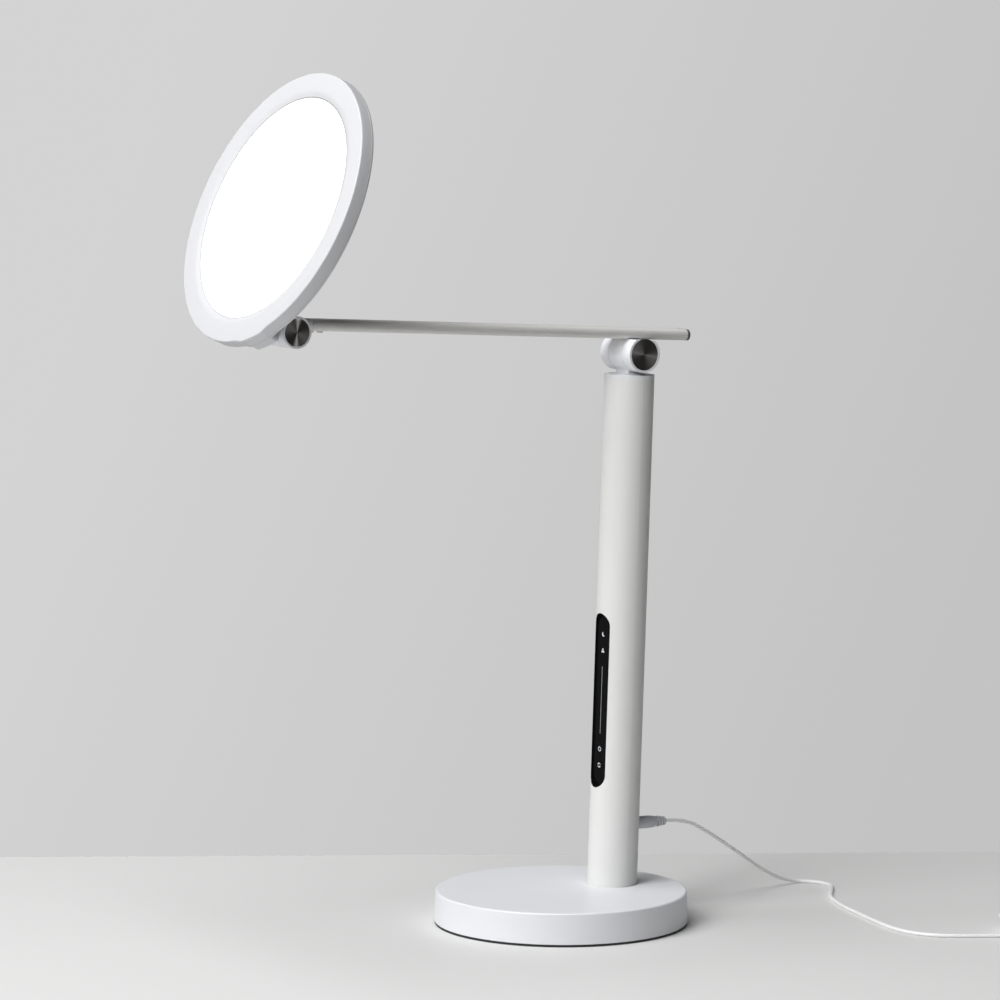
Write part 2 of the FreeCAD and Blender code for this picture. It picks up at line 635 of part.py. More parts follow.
def head_back_cover():
    disc = cylinder("head_radius", "back_thick", z=BEZEL_DEPTH)
    soft = rounded(disc, "head_edge", circle_at(size("head_radius"), size("head_depth")))
    boss = chin(f"chin_depth - ({BEZEL_DEPTH})", BEZEL_DEPTH)
    collar = cylinder("chin_half", f"chin_depth - ({BEZEL_DEPTH})",
                      y="swivel_inset - head_radius", z=BEZEL_DEPTH)
    bore = cylinder("swivel_radius + fit", "chin_depth * 2", y="swivel_inset - head_radius")
    pocket = cylinder("8.2", "chin_depth - 4", y="swivel_inset - head_radius")
    holes = [cylinder("1.5", "chin_depth * 2", x, y) for x, y in screw_ring()]
    rib_z = "lip_thick + diffuser_thick + guide_thick + sheet_thick + tray_thick"
    rib = cut(cylinder(f"{PANEL_RADIUS} + 2", f"{BEZEL_DEPTH} - ({rib_z})", z=rib_z),
              cylinder(f"{PANEL_RADIUS} - 2", "chin_depth * 3", z="0 - chin_depth"))
    piece("head_back_cover", cut(fuse(soft, boss, collar, rib), bore, pocket, *holes), PANEL)


def head_screws():
    screws = [screw(x, y, "head_depth", "2.6", "1.2", "back_thick + 5", -1) for x, y in screw_ring()]
    piece("head_screws", group(*screws), PANEL)


def light_panel():
    piece("diffuser", cylinder(PANEL_RADIUS, "diffuser_thick", z="lip_thick"), PANEL)
    guide_z = "lip_thick + diffuser_thick"
    piece("light_guide", cylinder(PANEL_RADIUS, "guide_thick", z=guide_z), PANEL)
    sheet_z = f"{guide_z} + guide_thick"
    piece("reflector_sheet", cylinder(PANEL_RADIUS, "sheet_thick", z=sheet_z), PANEL)
    strip = cut(cylinder(f"{PANEL_RADIUS} + 2", "diffuser_thick + guide_thick", z="lip_thick"),
                cylinder(f"{PANEL_RADIUS} + 0.3", "head_depth * 3", z="0 - head_depth"))
    piece("led_strip", strip, PANEL)
    plate_z = f"{sheet_z} + sheet_thick"
    piece("panel_backplate", cylinder(f"{PANEL_RADIUS} + 2", "tray_thick", z=plate_z), PANEL)
    board = block("60", "34", "1.2", y="10", z=f"{plate_z} + tray_thick")
    piece("driver_board", board, PANEL)


# Power cord: plug at the column's back, a stretch on the table, and the rest put away in a coil
PLUG_Y = "column_radius + gap"


def dc_plug():
    body = cylinder("plug_radius", "plug_length", y=PLUG_Y, z="jack_height", along="Y")
    start = f"{PLUG_Y} + plug_length"
    core = cylinder("plug_radius * 0.58", "relief_length", y=start, z="jack_height", along="Y")
    ribs = [cylinder(f"plug_radius * 0.84 - 0.25 * {index}", "relief_length * 0.19", z="jack_height",
                     y=f"{start} + relief_length * (0.12 + 0.31 * {index})", along="Y")
            for index in range(3)]
    piece("dc_plug", fuse(body, core, *ribs), COLUMN)
    pin = cylinder("jack_radius - 1.3", "8", y=f"{PLUG_Y} - 8", z="jack_height", along="Y")
    piece("plug_contact", pin, COLUMN)


def cord_start():
    reach = size("column_radius") + size("gap") + size("plug_length") + size("relief_length")
    return COLUMN.multVec(V(0, reach, size("jack_height")))


CORD_ON_TABLE = [
    (-3.0, 142.5, 59.5), (-9.0, 167.0, 45.0), (-16.0, 191.0, 30.5), (-23.0, 213.0, 17.0),
    (-29.0, 235.0, 6.5),
    (-31.5, 254.0, 1.5), (-20.5, 268.0, 1.5), (-2.5, 270.0, 1.5), (16.0, 255.5, 1.5), (38.0, 238.0, 1.5),
    (70.0, 225.5, 1.5), (108.0, 217.0, 1.5), (144.0, 208.5, 1.5), (176.0, 204.5, 1.5), (201.0, 211.5, 1.5),
    (217.0, 230.0, 1.5), (230.0, 253.0, 1.5),
]
COIL_START = V(248.0, 283.8, 1.5)
COIL_OUTER = 22.8
COIL_INNER = 10.5
COIL_TURNS = 3
COIL_LAYERS = 4
COIL_PITCH = (COIL_OUTER - COIL_INNER) / COIL_TURNS
COIL_CLIMB = 3.6
COIL_TAIL = 16.0


def cord_path(points):
    """Straight runs joined by tangent arcs; the arcs are as large as their runs allow."""
    edges = []
    radii = []
    here = points[0]
    for before, corner, after in zip(points, points[1:], points[2:]):
        back = (before - corner)
        ahead = (after - corner)
        half = (math.pi - back.getAngle(ahead)) / 2
        trim = 0.45 * min(back.Length, ahead.Length)
        radii.append(trim / math.tan(half))
        enter = corner + V(back).normalize() * trim
        leave = corner + V(ahead).normalize() * trim
        middle = V(back).normalize() + V(ahead).normalize()
        inward = V(middle).normalize()
        top = corner + inward * (radii[-1] / math.cos(half) - radii[-1])
        edges.append(Part.LineSegment(here, enter).toShape())
        edges.append(Part.Arc(enter, top, leave).toShape())
        here = leave
    edges.append(Part.LineSegment(here, points[-1]).toShape())
    return Part.Wire(edges), radii


def tube(wire, start, heading, label):
    circle = Part.Wire([Part.makeCircle(size("cord_radius"), start, heading)])
    solid = wire.makePipeShell([circle], True, False)
    ideal = math.pi * size("cord_radius") ** 2 * wire.Length
    print(f"{label}: length {wire.Length:.1f}, volume {solid.Volume:.1f} of {ideal:.1f}")
    return solid


def power_cord():
    start = cord_start()
    heading = COLUMN.Rotation.multVec(Y_AXIS)
    points = [start, start + heading * 19.0] + [V(*spot) for spot in CORD_ON_TABLE]
    into_coil = (COIL_START - points[-1]).normalize()
    points.append(COIL_START - into_coil * (size("cord_radius") * 2))
    wire, radii = cord_path(points)
    print("cord radii", [round(radius, 1) for radius in radii])
    turns = [math.degrees((b - a).getAngle(c - b)) for a, b, c in zip(points, points[1:], points[2:])]
    print("cord turns", [round(turn) for turn in turns])
    print("cord runs", [round((b - a).Length, 1) for a, b in zip(points, points[1:])])
    shaped("power_cord", tube(wire, start, heading, "power cord"))
    return into_coil


def biarc(start, start_heading, end, end_heading):
    """Two tangent arcs between points whose headings are opposite, a half turn in all."""
    reach = (end - start).Length / 2
    corner_in = start + start_heading * reach
    corner_out = end - end_heading * reach
    joint = (corner_in + corner_out) / 2
    return [quarter(start, corner_in, joint), quarter(joint, corner_out, end)]


def quarter(start, corner, end):
    """Arc tangent to both sides of a corner with equal sides."""
    back = (start - corner)
    ahead = (end - corner)
    half = back.getAngle(ahead) / 2
    radius = back.Length * math.tan(half)
    inward = (V(back).normalize() + V(ahead).normalize()).normalize()
    top = corner + inward * (radius / math.sin(half) - radius)
    return Part.Arc(start, top, end).toShape()


def coil_points():
    """Where the turns cross the coil's own X axis, one for each half turn."""
    points = []
    inwards = True
    radius = COIL_OUTER
    height = 0.0
    side = 1
    points.append((side * radius, height))
    for layer in range(COIL_LAYERS):
        for _ in range(COIL_TURNS * 2 - 1):
            side = -side
            radius += -COIL_PITCH / 2 if inwards else COIL_PITCH / 2
            points.append((side * radius, height))
        side = -side
        if layer < COIL_LAYERS - 1:
            height += COIL_CLIMB
        else:
            radius += COIL_PITCH / 2
        points.append((side * radius, height))
        inwards = not inwards
    return points


def cord_coil(heading):
    sideways = heading.cross(Z_AXIS)
    middle = COIL_START - sideways * COIL_OUTER
    spots = [middle + sideways * across + Z_AXIS * height for across, height in coil_points()]
    edges = []
    for index, (start, end) in enumerate(zip(spots, spots[1:])):
        way = heading if index % 2 == 0 else heading * -1
        edges += biarc(start, way, end, way * -1)
    last = spots[-1]
    way = heading if (len(spots) - 1) % 2 == 0 else heading * -1
    edges.append(Part.LineSegment(last, last + way * COIL_TAIL).toShape())
    lead = COIL_START - heading * (size("cord_radius") * 2)
    edges.insert(0, Part.LineSegment(lead, COIL_START).toShape())
    wire = Part.Wire(edges)
    print("coil least gap", round(least_gap(wire), 2))
    shaped("cord_coil", tube(wire, lead, heading, "coil"))
    return last + way * COIL_TAIL, way


def least_gap(wire):
    """Smallest free space between stretches of the coil more than a third of a turn apart."""
    spots = []
    travelled = 0.0
    for edge in wire.Edges:
        steps = max(3, int(edge.Length / 1.5))
        for spot in edge.discretize(steps)[:-1]:
            spots.append((travelled, spot))
            travelled += edge.Length / (steps - 1)
    least = 1e9
    for index, (way, spot) in enumerate(spots):
        for other_way, other in spots[index + 1:]:
            if other_way - way > COIL_INNER * 2.0:
                least = min(least, spot.distanceToPoint(other))
    return least - size("cord_radius") * 2


def wall_adapter(entry, heading):
    """Small plug-in adapter that lies on the table at the far end of the cord."""
    frame = FreeCAD.Placement(entry, FreeCAD.Rotation(Y_AXIS, heading))
    low = -entry.z
    body = Part.makeBox(42, 58, 27, V(-21, 9, low))
    body = body.makeFillet(3.5, [edge for edge in body.Edges if edge.BoundBox.ZLength > 20])
    collar = Part.makeCone(3.4, 4.6, 9.01, V(0, 0, 0), Y_AXIS)
    shaped("wall_adapter", body.fuse(collar), frame)
    blades = [Part.makeBox(1.5, 17, 6.4, V(x, 67, 14 + low)) for x in (-7.1, 5.6)]
    shaped("adapter_prongs", Part.makeCompound(blades), frame)


def check_and_write():
    doc.recompute()
    for thing in doc.Objects:
        if "Invalid" in thing.State or "Error" in thing.State:
            raise RuntimeError(f"{thing.Label} failed: {thing.State}")
    os.makedirs("parts", exist_ok=True)
    for thing in PIECES:
        shape = thing.Shape
        if shape.isNull() or not shape.isValid() or not shape.Solids:
            raise RuntimeError(f"{thing.Label} has no valid shape")
        shape.exportStep(f"parts/{thing.Label}.step")
        box = shape.BoundBox
        print(f"{thing.Label:20s} solids {len(shape.Solids)} volume {shape.Volume:10.1f} "
              f"z {box.ZMin:.1f} to {box.ZMax:.1f}")


base_cover()
foot_pad()
bottom_plate()
base_weight()
base_screws()
column_socket()
socket_bolts()
column_tube()
control_strip()
control_board()
dc_jack()
column_cap()
hinge_neck()
swivel_stack()
arm_hinge()
arm_bar()
arm_tip()
tip_hinge()
tip_screws()
head_knuckle()
head_bezel()
head_back_cover()
head_screws()
light_panel()
dc_plug()
cord_heading = power_cord()
tail_end, tail_heading = cord_coil(cord_heading)
wall_adapter(tail_end, tail_heading)
check_and_write()
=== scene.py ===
"""Light therapy lamp: a round glowing panel on a hinged arm, with its stage, lights and camera."""
import json
import math

import bmesh
import bpy
from bpy.props import FloatProperty, FloatVectorProperty, IntProperty, PointerProperty
from mathutils import Matrix, Vector


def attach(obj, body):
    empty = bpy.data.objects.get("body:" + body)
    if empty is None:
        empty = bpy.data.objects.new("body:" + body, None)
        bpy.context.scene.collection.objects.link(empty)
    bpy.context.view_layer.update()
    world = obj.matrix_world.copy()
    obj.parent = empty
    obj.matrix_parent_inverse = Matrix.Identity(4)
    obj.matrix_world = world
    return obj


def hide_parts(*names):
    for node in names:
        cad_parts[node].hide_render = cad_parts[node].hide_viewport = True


bl_info = {
    "name": "Light therapy lamp",
    "version": (1, 0, 0),
    "blender": (4, 5, 0),
    "location": "View3D > Sidebar > Lamp",
    "description": "Builds the looks of a light therapy lamp round its packed frame",
    "category": "Object",
}

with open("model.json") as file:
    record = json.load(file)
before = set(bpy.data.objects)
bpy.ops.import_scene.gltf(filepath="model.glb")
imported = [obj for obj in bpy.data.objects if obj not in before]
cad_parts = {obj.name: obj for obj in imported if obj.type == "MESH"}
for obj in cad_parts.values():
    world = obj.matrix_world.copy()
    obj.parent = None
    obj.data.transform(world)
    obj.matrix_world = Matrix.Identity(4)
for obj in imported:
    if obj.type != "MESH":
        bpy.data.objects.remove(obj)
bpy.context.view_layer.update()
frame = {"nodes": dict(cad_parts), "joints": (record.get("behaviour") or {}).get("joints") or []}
NODES = frame["nodes"]
JOINTS = {joint["name"]: joint for joint in frame["joints"]}
MM = 0.001
FULL_TURN = 2 * math.pi

# Places of the lamp's own parts, in the same frame as its solids
SWIVEL_AXIS = Vector(JOINTS["column_swivel"]["axis"])
COLUMN_LEAN = math.atan2(SWIVEL_AXIS.y, SWIVEL_AXIS.z)
COLUMN = Matrix.Translation((0, 48.9 * MM, 26.4 * MM)) @ Matrix.Rotation(-COLUMN_LEAN, 4, "X")
ARM = Matrix.Translation(JOINTS["arm_tilt"]["pos_m"]) @ Matrix.Rotation(math.radians(-3.7), 4, "X")
ARM_END = Matrix.Translation(JOINTS["head_tilt"]["pos_m"]) @ Matrix.Rotation(math.radians(-3.7), 4, "X")
KNUCKLE = Matrix.Translation(JOINTS["head_tilt"]["pos_m"]) @ Matrix.Rotation(math.radians(-24.2), 4, "X")
HEAD = KNUCKLE @ Matrix.Rotation(math.radians(-21.6), 4, "Y")
PANEL = HEAD @ Matrix.Translation((0, -32.8 * MM, 93.5 * MM)) @ Matrix.Rotation(math.pi, 4, (0, 1, 1))

# Route of the power cord in millimetres: out of the plug, down to the table and along it
CORD_REACH = 49.7
CORD_HEIGHT = 47.5
CORD_ROUTE = [
    (-3.0, 142.5, 59.5), (-9.0, 167.0, 45.0), (-16.0, 191.0, 30.5), (-23.0, 213.0, 17.0),
    (-29.0, 235.0, 6.5), (-31.5, 254.0, 1.5), (-20.5, 268.0, 1.5), (-2.5, 270.0, 1.5),
    (16.0, 255.5, 1.5), (38.0, 238.0, 1.5), (70.0, 225.5, 1.5), (108.0, 217.0, 1.5),
    (144.0, 208.5, 1.5), (176.0, 204.5, 1.5), (201.0, 211.5, 1.5), (217.0, 230.0, 1.5),
    (230.0, 253.0, 1.5),
]
COIL_START = Vector((248.0, 283.8, 1.5))
COIL_OUTER = 22.8
COIL_INNER = 10.5
COIL_TURNS = 3
COIL_LAYERS = 4
COIL_CLIMB = 3.6
COIL_TAIL = 16.0


def length(name, description, millimetres):
    return FloatProperty(name=name, description=description, default=millimetres * MM, unit="LENGTH")


def swatch(name, description, red, green, blue):
    return FloatVectorProperty(name=name, description=description, subtype="COLOR", size=4,
                               default=(red, green, blue, 1))


class LampSizes(bpy.types.PropertyGroup):
    """Sizes of the pieces that this file makes."""
    cord_width: length("Cord", "Diameter of the power cord", 3.0)
    cap_dish: length("Cap dish", "How far the middle of a hinge cap is sunk", 0.25)
    groove_step: length("Groove step", "Distance between the rings turned in a cap", 0.5)
    groove_depth: length("Groove depth", "Depth of the rings turned in a cap", 0.02)
    symbol_rise: length("Symbol print", "Thickness of the print on the control strip", 0.06)
    symbol_stroke: length("Symbol stroke", "Width of the lines of the printed symbols", 0.55)
    plug_radius: length("Plug", "Radius of the moulded plug", 5.1)
    plug_length: length("Plug length", "Length of the moulded plug without its relief", 19.5)
    relief_length: length("Relief length", "Length of the ribbed strain relief", 9.6)
    round_steps: IntProperty(name="Round steps", description="Facets round a turned piece",
                             default=96, min=24)


class LampColours(bpy.types.PropertyGroup):
    """Colours of the lamp's finishes, tuned to the stage's light and not measured."""
    shell: swatch("Shell", "Moulded shell of the base and the column's cap",
                  0.82, 0.83, 0.86)
    # Bezel colour is painted shade: a darker copy of the base's white that offsets the stage's stronger
    # light on the head
    bezel: swatch("Bezel", "Shell of the head, darker than the base to offset the stage's light",
                  0.575, 0.578, 0.596)
    column: swatch("Column", "Painted column",
                   0.82, 0.82, 0.81)
    arm: swatch("Arm", "Painted arm bar",
                0.68, 0.67, 0.65)
    # Hinge and neck paint are lighter copies of the column's white: painted light that makes up for the
    # shade the stage casts on them under the arm
    hinge: swatch("Hinge", "Painted hinge barrels",
                  0.86, 0.87, 0.90)
    neck: swatch("Neck", "Painted neck on the column",
                 0.94, 0.95, 0.98)
    # The cap colour is the brightest painted reflection on the spun caps, not the metal's own colour
    cap: swatch("Cap", "Brightest sheen of the dark spun hinge caps",
                0.85, 0.81, 0.79)
    gloss: swatch("Control strip", "Black gloss of the control strip",
                  0.0035, 0.0035, 0.004)
    symbol: swatch("Symbols", "Print on the control strip",
                   0.84, 0.86, 0.88)
    slider: swatch("Slider line", "Fainter print of the slider's line",
                   0.32, 0.33, 0.34)
    dark: swatch("Dark plastic", "End cap of the arm",
                 0.10, 0.10, 0.10)
    rubber: swatch("Rubber", "Foot pad under the base",
                   0.018, 0.018, 0.02)
    cord: swatch("Cord", "Soft sheath of the power cord",
                 0.93, 0.93, 0.93)
    plug: swatch("Plug", "Moulded plug and its strain relief",
                 0.56, 0.57, 0.60)
    adapter: swatch("Adapter", "Moulded wall adapter",
                    0.80, 0.80, 0.79)
    steel: swatch("Steel", "Plated screws, shafts and prongs",
                  0.62, 0.62, 0.63)
    glow: swatch("Glow", "Light of the front panel",
                 1.0, 1.0, 0.99)


class StudioSettings(bpy.types.PropertyGroup):
    """Stage, lamps and camera of the picture."""
    table: swatch("Table", "Pale table top",
                  0.742, 0.742, 0.738)
    # The two wall tones are painted light and painted shade on one wall
    wall_lit_left: swatch("Wall, left", "Wall behind the lamp at the picture's left",
                      0.655, 0.655, 0.655)
    wall_shaded_right: swatch("Wall, right", "Wall behind the lamp at the picture's right",
                       0.545, 0.545, 0.545)
    ambient: FloatProperty(name="Ambient", description="Soft light, most of it from the picture's left",
                           default=0.072, min=0)
    key_power: FloatProperty(name="Key light", description="Large soft light before the lamp",
                             default=73.0, unit="POWER", min=0)
    top_power: FloatProperty(name="Top light", description="Large soft light over the lamp",
                             default=73.0, unit="POWER", min=0)
    lens: FloatProperty(name="Lens", description="Focal length of the camera", default=182.16, unit="CAMERA")


def sizes():
    return bpy.context.scene.lamp_sizes


def colours():
    return bpy.context.scene.lamp_colours


def studio():
    return bpy.context.scene.lamp_studio


# Finishes
class Signal:
    """Number that varies over a surface; arithmetic on it adds Math nodes."""

    def __init__(self, finish, socket):
        self.finish = finish
        self.socket = socket

    def maths(self, operation, first, second):
        return self.finish.node("ShaderNodeMath", {"operation": operation}, {0: first, 1: second})

    def __add__(self, other):
        return self.maths("ADD", self, other)

    def __radd__(self, other):
        return self.maths("ADD", other, self)

    def __sub__(self, other):
        return self.maths("SUBTRACT", self, other)

    def __rsub__(self, other):
        return self.maths("SUBTRACT", other, self)

    def __mul__(self, other):
        return self.maths("MULTIPLY", self, other)

    def __rmul__(self, other):
        return self.maths("MULTIPLY", other, self)

    def __truediv__(self, other):
        return self.maths("DIVIDE", self, other)

    def __pow__(self, other):
        return self.maths("POWER", self, other)


class Finish:
    """One material and the nodes added to it."""

    def __init__(self, name, tree=None):
        if tree is None:
            self.material = bpy.data.materials.new(name)
            self.material.use_nodes = True
            tree = self.material.node_tree
        self.tree = tree
        self.tree.nodes.clear()

    def node(self, kind, settings=None, values=None, output=0):
        """Add a node: its settings first, then the values or links of its sockets."""
        made = self.tree.nodes.new(kind)
        for name, value in (settings or {}).items():
            if name == "stops":
                self.set_stops(made.color_ramp, value)
            else:
                setattr(made, name, value)
        for name, value in (values or {}).items():
            if isinstance(value, Signal):
                self.tree.links.new(value.socket, made.inputs[name])
            else:
                made.inputs[name].default_value = value
        return Signal(self, made.outputs[output] if made.outputs else None)

    def set_stops(self, ramp, stops):
        while len(ramp.elements) < len(stops):
            ramp.elements.new(0.5)
        for element, (place, shade) in zip(ramp.elements, stops):
            element.position = place
            element.color = (shade, shade, shade, 1)

    def place(self):
        """The point on the object, in metres."""
        return self.node("ShaderNodeTexCoord", output="Object")

    def noise(self, per_metre, detail=2.0, roughness=0.5):
        return self.node("ShaderNodeTexNoise", {"noise_dimensions": "3D"},
                         {"Vector": self.place(), "Scale": per_metre, "Detail": detail,
                          "Roughness": roughness})

    def shade(self, factor, colour, change):
        """The colour, made lighter or darker by up to the change where the factor is 1."""
        other = tuple(max(0.0, min(1.0, part * change)) for part in colour[:3]) + (1,)
        return self.mix(factor, colour, other)

    def mix(self, factor, first, second):
        return self.node("ShaderNodeMix", {"data_type": "RGBA"},
                         {0: factor, 6: tuple(first), 7: tuple(second)}, output=2)

    def clamp(self, value):
        return self.node("ShaderNodeClamp", None, {"Value": value})

    def bump(self, height, distance, normal=None):
        values = {"Height": height, "Distance": distance, "Strength": 1.0}
        if normal is not None:
            values["Normal"] = normal
        return self.node("ShaderNodeBump", None, values)

    def soft_edges(self, radius):
        return self.node("ShaderNodeBevel", {"samples": 6}, {"Radius": radius})

    def surface(self, **values):
        names = {name.replace("_", " "): value for name, value in values.items()}
        shader = self.node("ShaderNodeBsdfPrincipled", None, names)
        self.node("ShaderNodeOutputMaterial", None, {"Surface": shader})
        return self.material


def moulded(name, colour, rough=0.42, grain=2600.0, depth=0.012 * MM, edge=0.4 * MM):
    """Moulded plastic: fine even grain, a faint cloud in the colour and in the sheen."""
    finish = Finish(name)
    cloud = finish.noise(14.0, 3.0)
    fine = finish.noise(grain, 2.0, 0.6)
    base = finish.shade(cloud * 0.5 + fine * 0.25, colour, 0.955)
    sheen = rough + (finish.noise(45.0, 4.0) - 0.5) * 0.10
    normal = finish.bump(fine, depth, finish.soft_edges(edge))
    return finish.surface(Base_Color=base, Roughness=sheen, Normal=normal, IOR=1.46)


def painted(name, colour, rough=0.36, peel=420.0, depth=0.02 * MM, edge=0.4 * MM, shine=0.3):
    """Satin paint on metal: orange peel, a little dust of colour and worn sheen."""
    finish = Finish(name)
    cloud = finish.noise(9.0, 3.0)
    skin = finish.noise(peel, 1.5)
    speck = finish.noise(5200.0, 1.0)
    base = finish.shade(cloud * 0.6 + speck * 0.3, colour, 0.95)
    sheen = rough + (finish.noise(60.0, 5.0) - 0.5) * 0.12
    normal = finish.bump(skin + speck * 0.12, depth, finish.soft_edges(edge))
    return finish.surface(Base_Color=base, Roughness=sheen, Normal=normal,
                          Specular_IOR_Level=shine, IOR=1.5)


def spun_metal(name, colour, painted_lobe, painted_streak, painted_streak_gain):
    """Dark metal turned on a lathe. Its light and dark sectors and its bright streak, at angles in degrees,
    are
    painted reflections in its base colour: they match one view and stay with the cap, as real reflections
    would not."""
    finish = Finish(name)
    parts = finish.node("ShaderNodeSeparateXYZ", None, {"Vector": finish.place()})
    down = Signal(finish, parts.socket.node.outputs["X"])
    aside = Signal(finish, parts.socket.node.outputs["Y"])
    square = down * down + aside * aside + 1e-9
    radius = square ** 0.5
    twice_cos = (aside * aside - down * down) / square
    twice_sin = (aside * down) / square * -2.0
    ring = finish.node("ShaderNodeTexNoise", {"noise_dimensions": "1D"},
                       {"W": radius, "Scale": 9000.0, "Detail": 3.0, "Roughness": 0.7})

    def sector(angle, sharpness):
        turn = math.radians(2 * angle)
        share = (twice_cos * math.cos(turn) + twice_sin * math.sin(turn)) * 0.5 + 0.5
        return share ** sharpness

    # Painted reflection in the base colour: broad light sectors and a narrow bright streak over a dark base,
    # with a faint flicker of the turned rings
    light = 0.035 + sector(painted_lobe, 2.0) * 0.17 + sector(painted_streak, 26.0) * painted_streak_gain + (ring - 0.5) * 0.09
    base = finish.mix(finish.clamp(light), (0.012, 0.011, 0.011, 1), colour)
    sheen = 0.34 + (ring - 0.5) * 0.16
    return finish.surface(Base_Color=base, Roughness=sheen, Metallic=0.85, Anisotropic=0.8,
                          Normal=finish.bump(ring, 0.004 * MM))


def gloss_black(name, colour):
    """Polished panel with faint finger marks that show only in its sheen."""
    finish = Finish(name)
    marks = finish.noise(55.0, 6.0, 0.65)
    sheen = 0.07 + (marks ** 3.0) * 0.22
    base = finish.shade(marks, colour, 1.5)
    return finish.surface(Base_Color=base, Roughness=sheen, IOR=1.49, Specular_IOR_Level=0.05,
                          Normal=finish.soft_edges(0.25 * MM))


def rubber(name, colour):
    finish = Finish(name)
    grain = finish.noise(1500.0, 3.0, 0.7)
    dust = finish.noise(120.0, 5.0)
    base = finish.shade(dust ** 2.0, colour, 2.2)
    return finish.surface(Base_Color=base, Roughness=0.72 + (grain - 0.5) * 0.2,
                          Normal=finish.bump(grain, 0.05 * MM), IOR=1.45)


def soft_sheath(name, colour):
    """Soft cord sheath: slight waves from the winding and a faint satin sheen."""
    finish = Finish(name)
    waves = finish.noise(160.0, 3.0)
    fine = finish.noise(2400.0, 2.0)
    base = finish.shade(waves * 0.5 + fine * 0.3, colour, 0.9)
    return finish.surface(Base_Color=base, Roughness=0.40 + (fine - 0.5) * 0.16,
                          Normal=finish.bump(waves + fine * 0.2, 0.05 * MM), IOR=1.5,
                          Sheen_Weight=0.6)


def plated(name, colour, rough=0.24):
    finish = Finish(name)
    brush = finish.noise(900.0, 4.0, 0.65)
    base = finish.shade(brush, colour, 0.8)
    return finish.surface(Base_Color=base, Roughness=rough + (brush - 0.5) * 0.2, Metallic=1.0,
                          Normal=finish.bump(brush, 0.006 * MM, finish.soft_edges(0.15 * MM)))


def glowing(name, colour):
    """Milky front panel, evenly lit but for a faint cloud."""
    finish = Finish(name)
    cloud = finish.noise(30.0, 2.0)
    glow = finish.shade(cloud, colour, 0.985)
    return finish.surface(Base_Color=(0.30, 0.30, 0.30, 1), Roughness=0.35, Emission_Color=glow,
                          Emission_Strength=0.92, IOR=1.49)


def symbol_print(name, colour):
    finish = Finish(name)
    worn = finish.noise(1400.0, 3.0)
    ink = finish.shade(worn, colour, 0.8)
    # The print also glows faintly: its colour is emitted at a strength of 0.12
    return finish.surface(Base_Color=ink, Roughness=0.4, Emission_Color=ink, Emission_Strength=0.12)


def board_green(name, colour):
    finish = Finish(name)
    tracks = finish.node("ShaderNodeTexVoronoi", {"feature": "DISTANCE_TO_EDGE"},
                         {"Vector": finish.place(), "Scale": 260.0})
    fade = finish.node("ShaderNodeValToRGB", {"stops": [(0.0, 1.0), (0.06, 0.0)]}, {"Fac": tracks})
    base = finish.shade(fade, colour, 2.0)
    return finish.surface(Base_Color=base, Roughness=0.35, IOR=1.5)


def shell_finishes():
    tint = colours()
    white = moulded("white_shell", tint.shell)
    column = painted("white_column", tint.column, rough=0.5, shine=0.15)
    arm = painted("pale_arm", tint.arm, rough=0.33)
    # Hinge and neck take lighter copies of the column's paint: painted light
    hinge = painted("white_hinge_painted_light", tint.hinge, rough=0.30)
    neck = painted("white_neck_painted_light", tint.neck, rough=0.36)
    steel = plated("plated_steel", tint.steel)
    inner = moulded("white_inner", tint.shell, rough=0.5)
    dark = moulded("dark_moulding", tint.dark, rough=0.5)
    return {
        white: ["base_cover", "column_cap"],
        column: ["column_tube"],
        arm: ["arm_bar", "tip_screws"],
        neck: ["hinge_neck"],
        hinge: ["hinge_cheek_right", "hinge_cheek_left", "arm_tip", "head_knuckle"],
        dark: ["arm_end_cap", "jack_nut", "dc_jack"],
        rubber("foot_rubber", tint.rubber): ["rubber_foot_pad"],
        moulded("adapter_moulding", tint.adapter, rough=0.5, edge=1.0 * MM): ["wall_adapter"],
        gloss_black("strip_gloss", tint.gloss): ["control_strip"],
        glowing("panel_glow", tint.glow): ["diffuser"],
        inner: ["swivel_disc", "swivel_washer", "reflector_sheet", "light_guide", "led_strip"],
        plated("cast_metal", tint.steel, rough=0.45): ["column_socket", "base_weight", "bottom_plate",
                                                        "panel_backplate"],
        board_green("green_board", (0.03, 0.16, 0.07, 1)): ["control_board", "driver_board"],
        steel: ["base_screws", "socket_bolts", "swivel_nut", "hinge_shaft", "hinge_nuts",
                "head_shaft", "head_nuts", "swivel_retainer", "head_screws", "plug_contact",
                "adapter_prongs"],
    }


# Mesh helpers
def new_object(name, mesh, materials, place=None):
    thing = bpy.data.objects.new(name, mesh)
    bpy.context.scene.collection.objects.link(thing)
    for material in materials:
        thing.data.materials.append(material)
    if place is not None:
        thing.matrix_world = place
    return thing


def mesh_of(made, name, sharp=35.0):
    bmesh.ops.recalc_face_normals(made, faces=made.faces)
    mesh = bpy.data.meshes.new(name)
    made.to_mesh(mesh)
    made.free()
    mesh.polygons.foreach_set("use_smooth", [True] * len(mesh.polygons))
    mesh.set_sharp_from_angle(angle=math.radians(sharp))
    return mesh


def turned(outline, steps, name, sharp=35.0):
    """A solid turned about Z from (radius, height) points; an end on the axis closes it."""
    made = bmesh.new()
    rings = []
    for radius, height in outline:
        if radius < 1e-7:
            rings.append([made.verts.new((0, 0, height))])
            continue
        rings.append([made.verts.new((radius * math.cos(FULL_TURN * step / steps),
                                      radius * math.sin(FULL_TURN * step / steps), height))
                      for step in range(steps)])
    for low, high in zip(rings, rings[1:]):
        for step in range(steps):
            after = (step + 1) % steps
            corners = [low[step % len(low)], low[after % len(low)],
                       high[after % len(high)], high[step % len(high)]]
            made.faces.new(list(dict.fromkeys(corners)))
    return mesh_of(made, name, sharp)


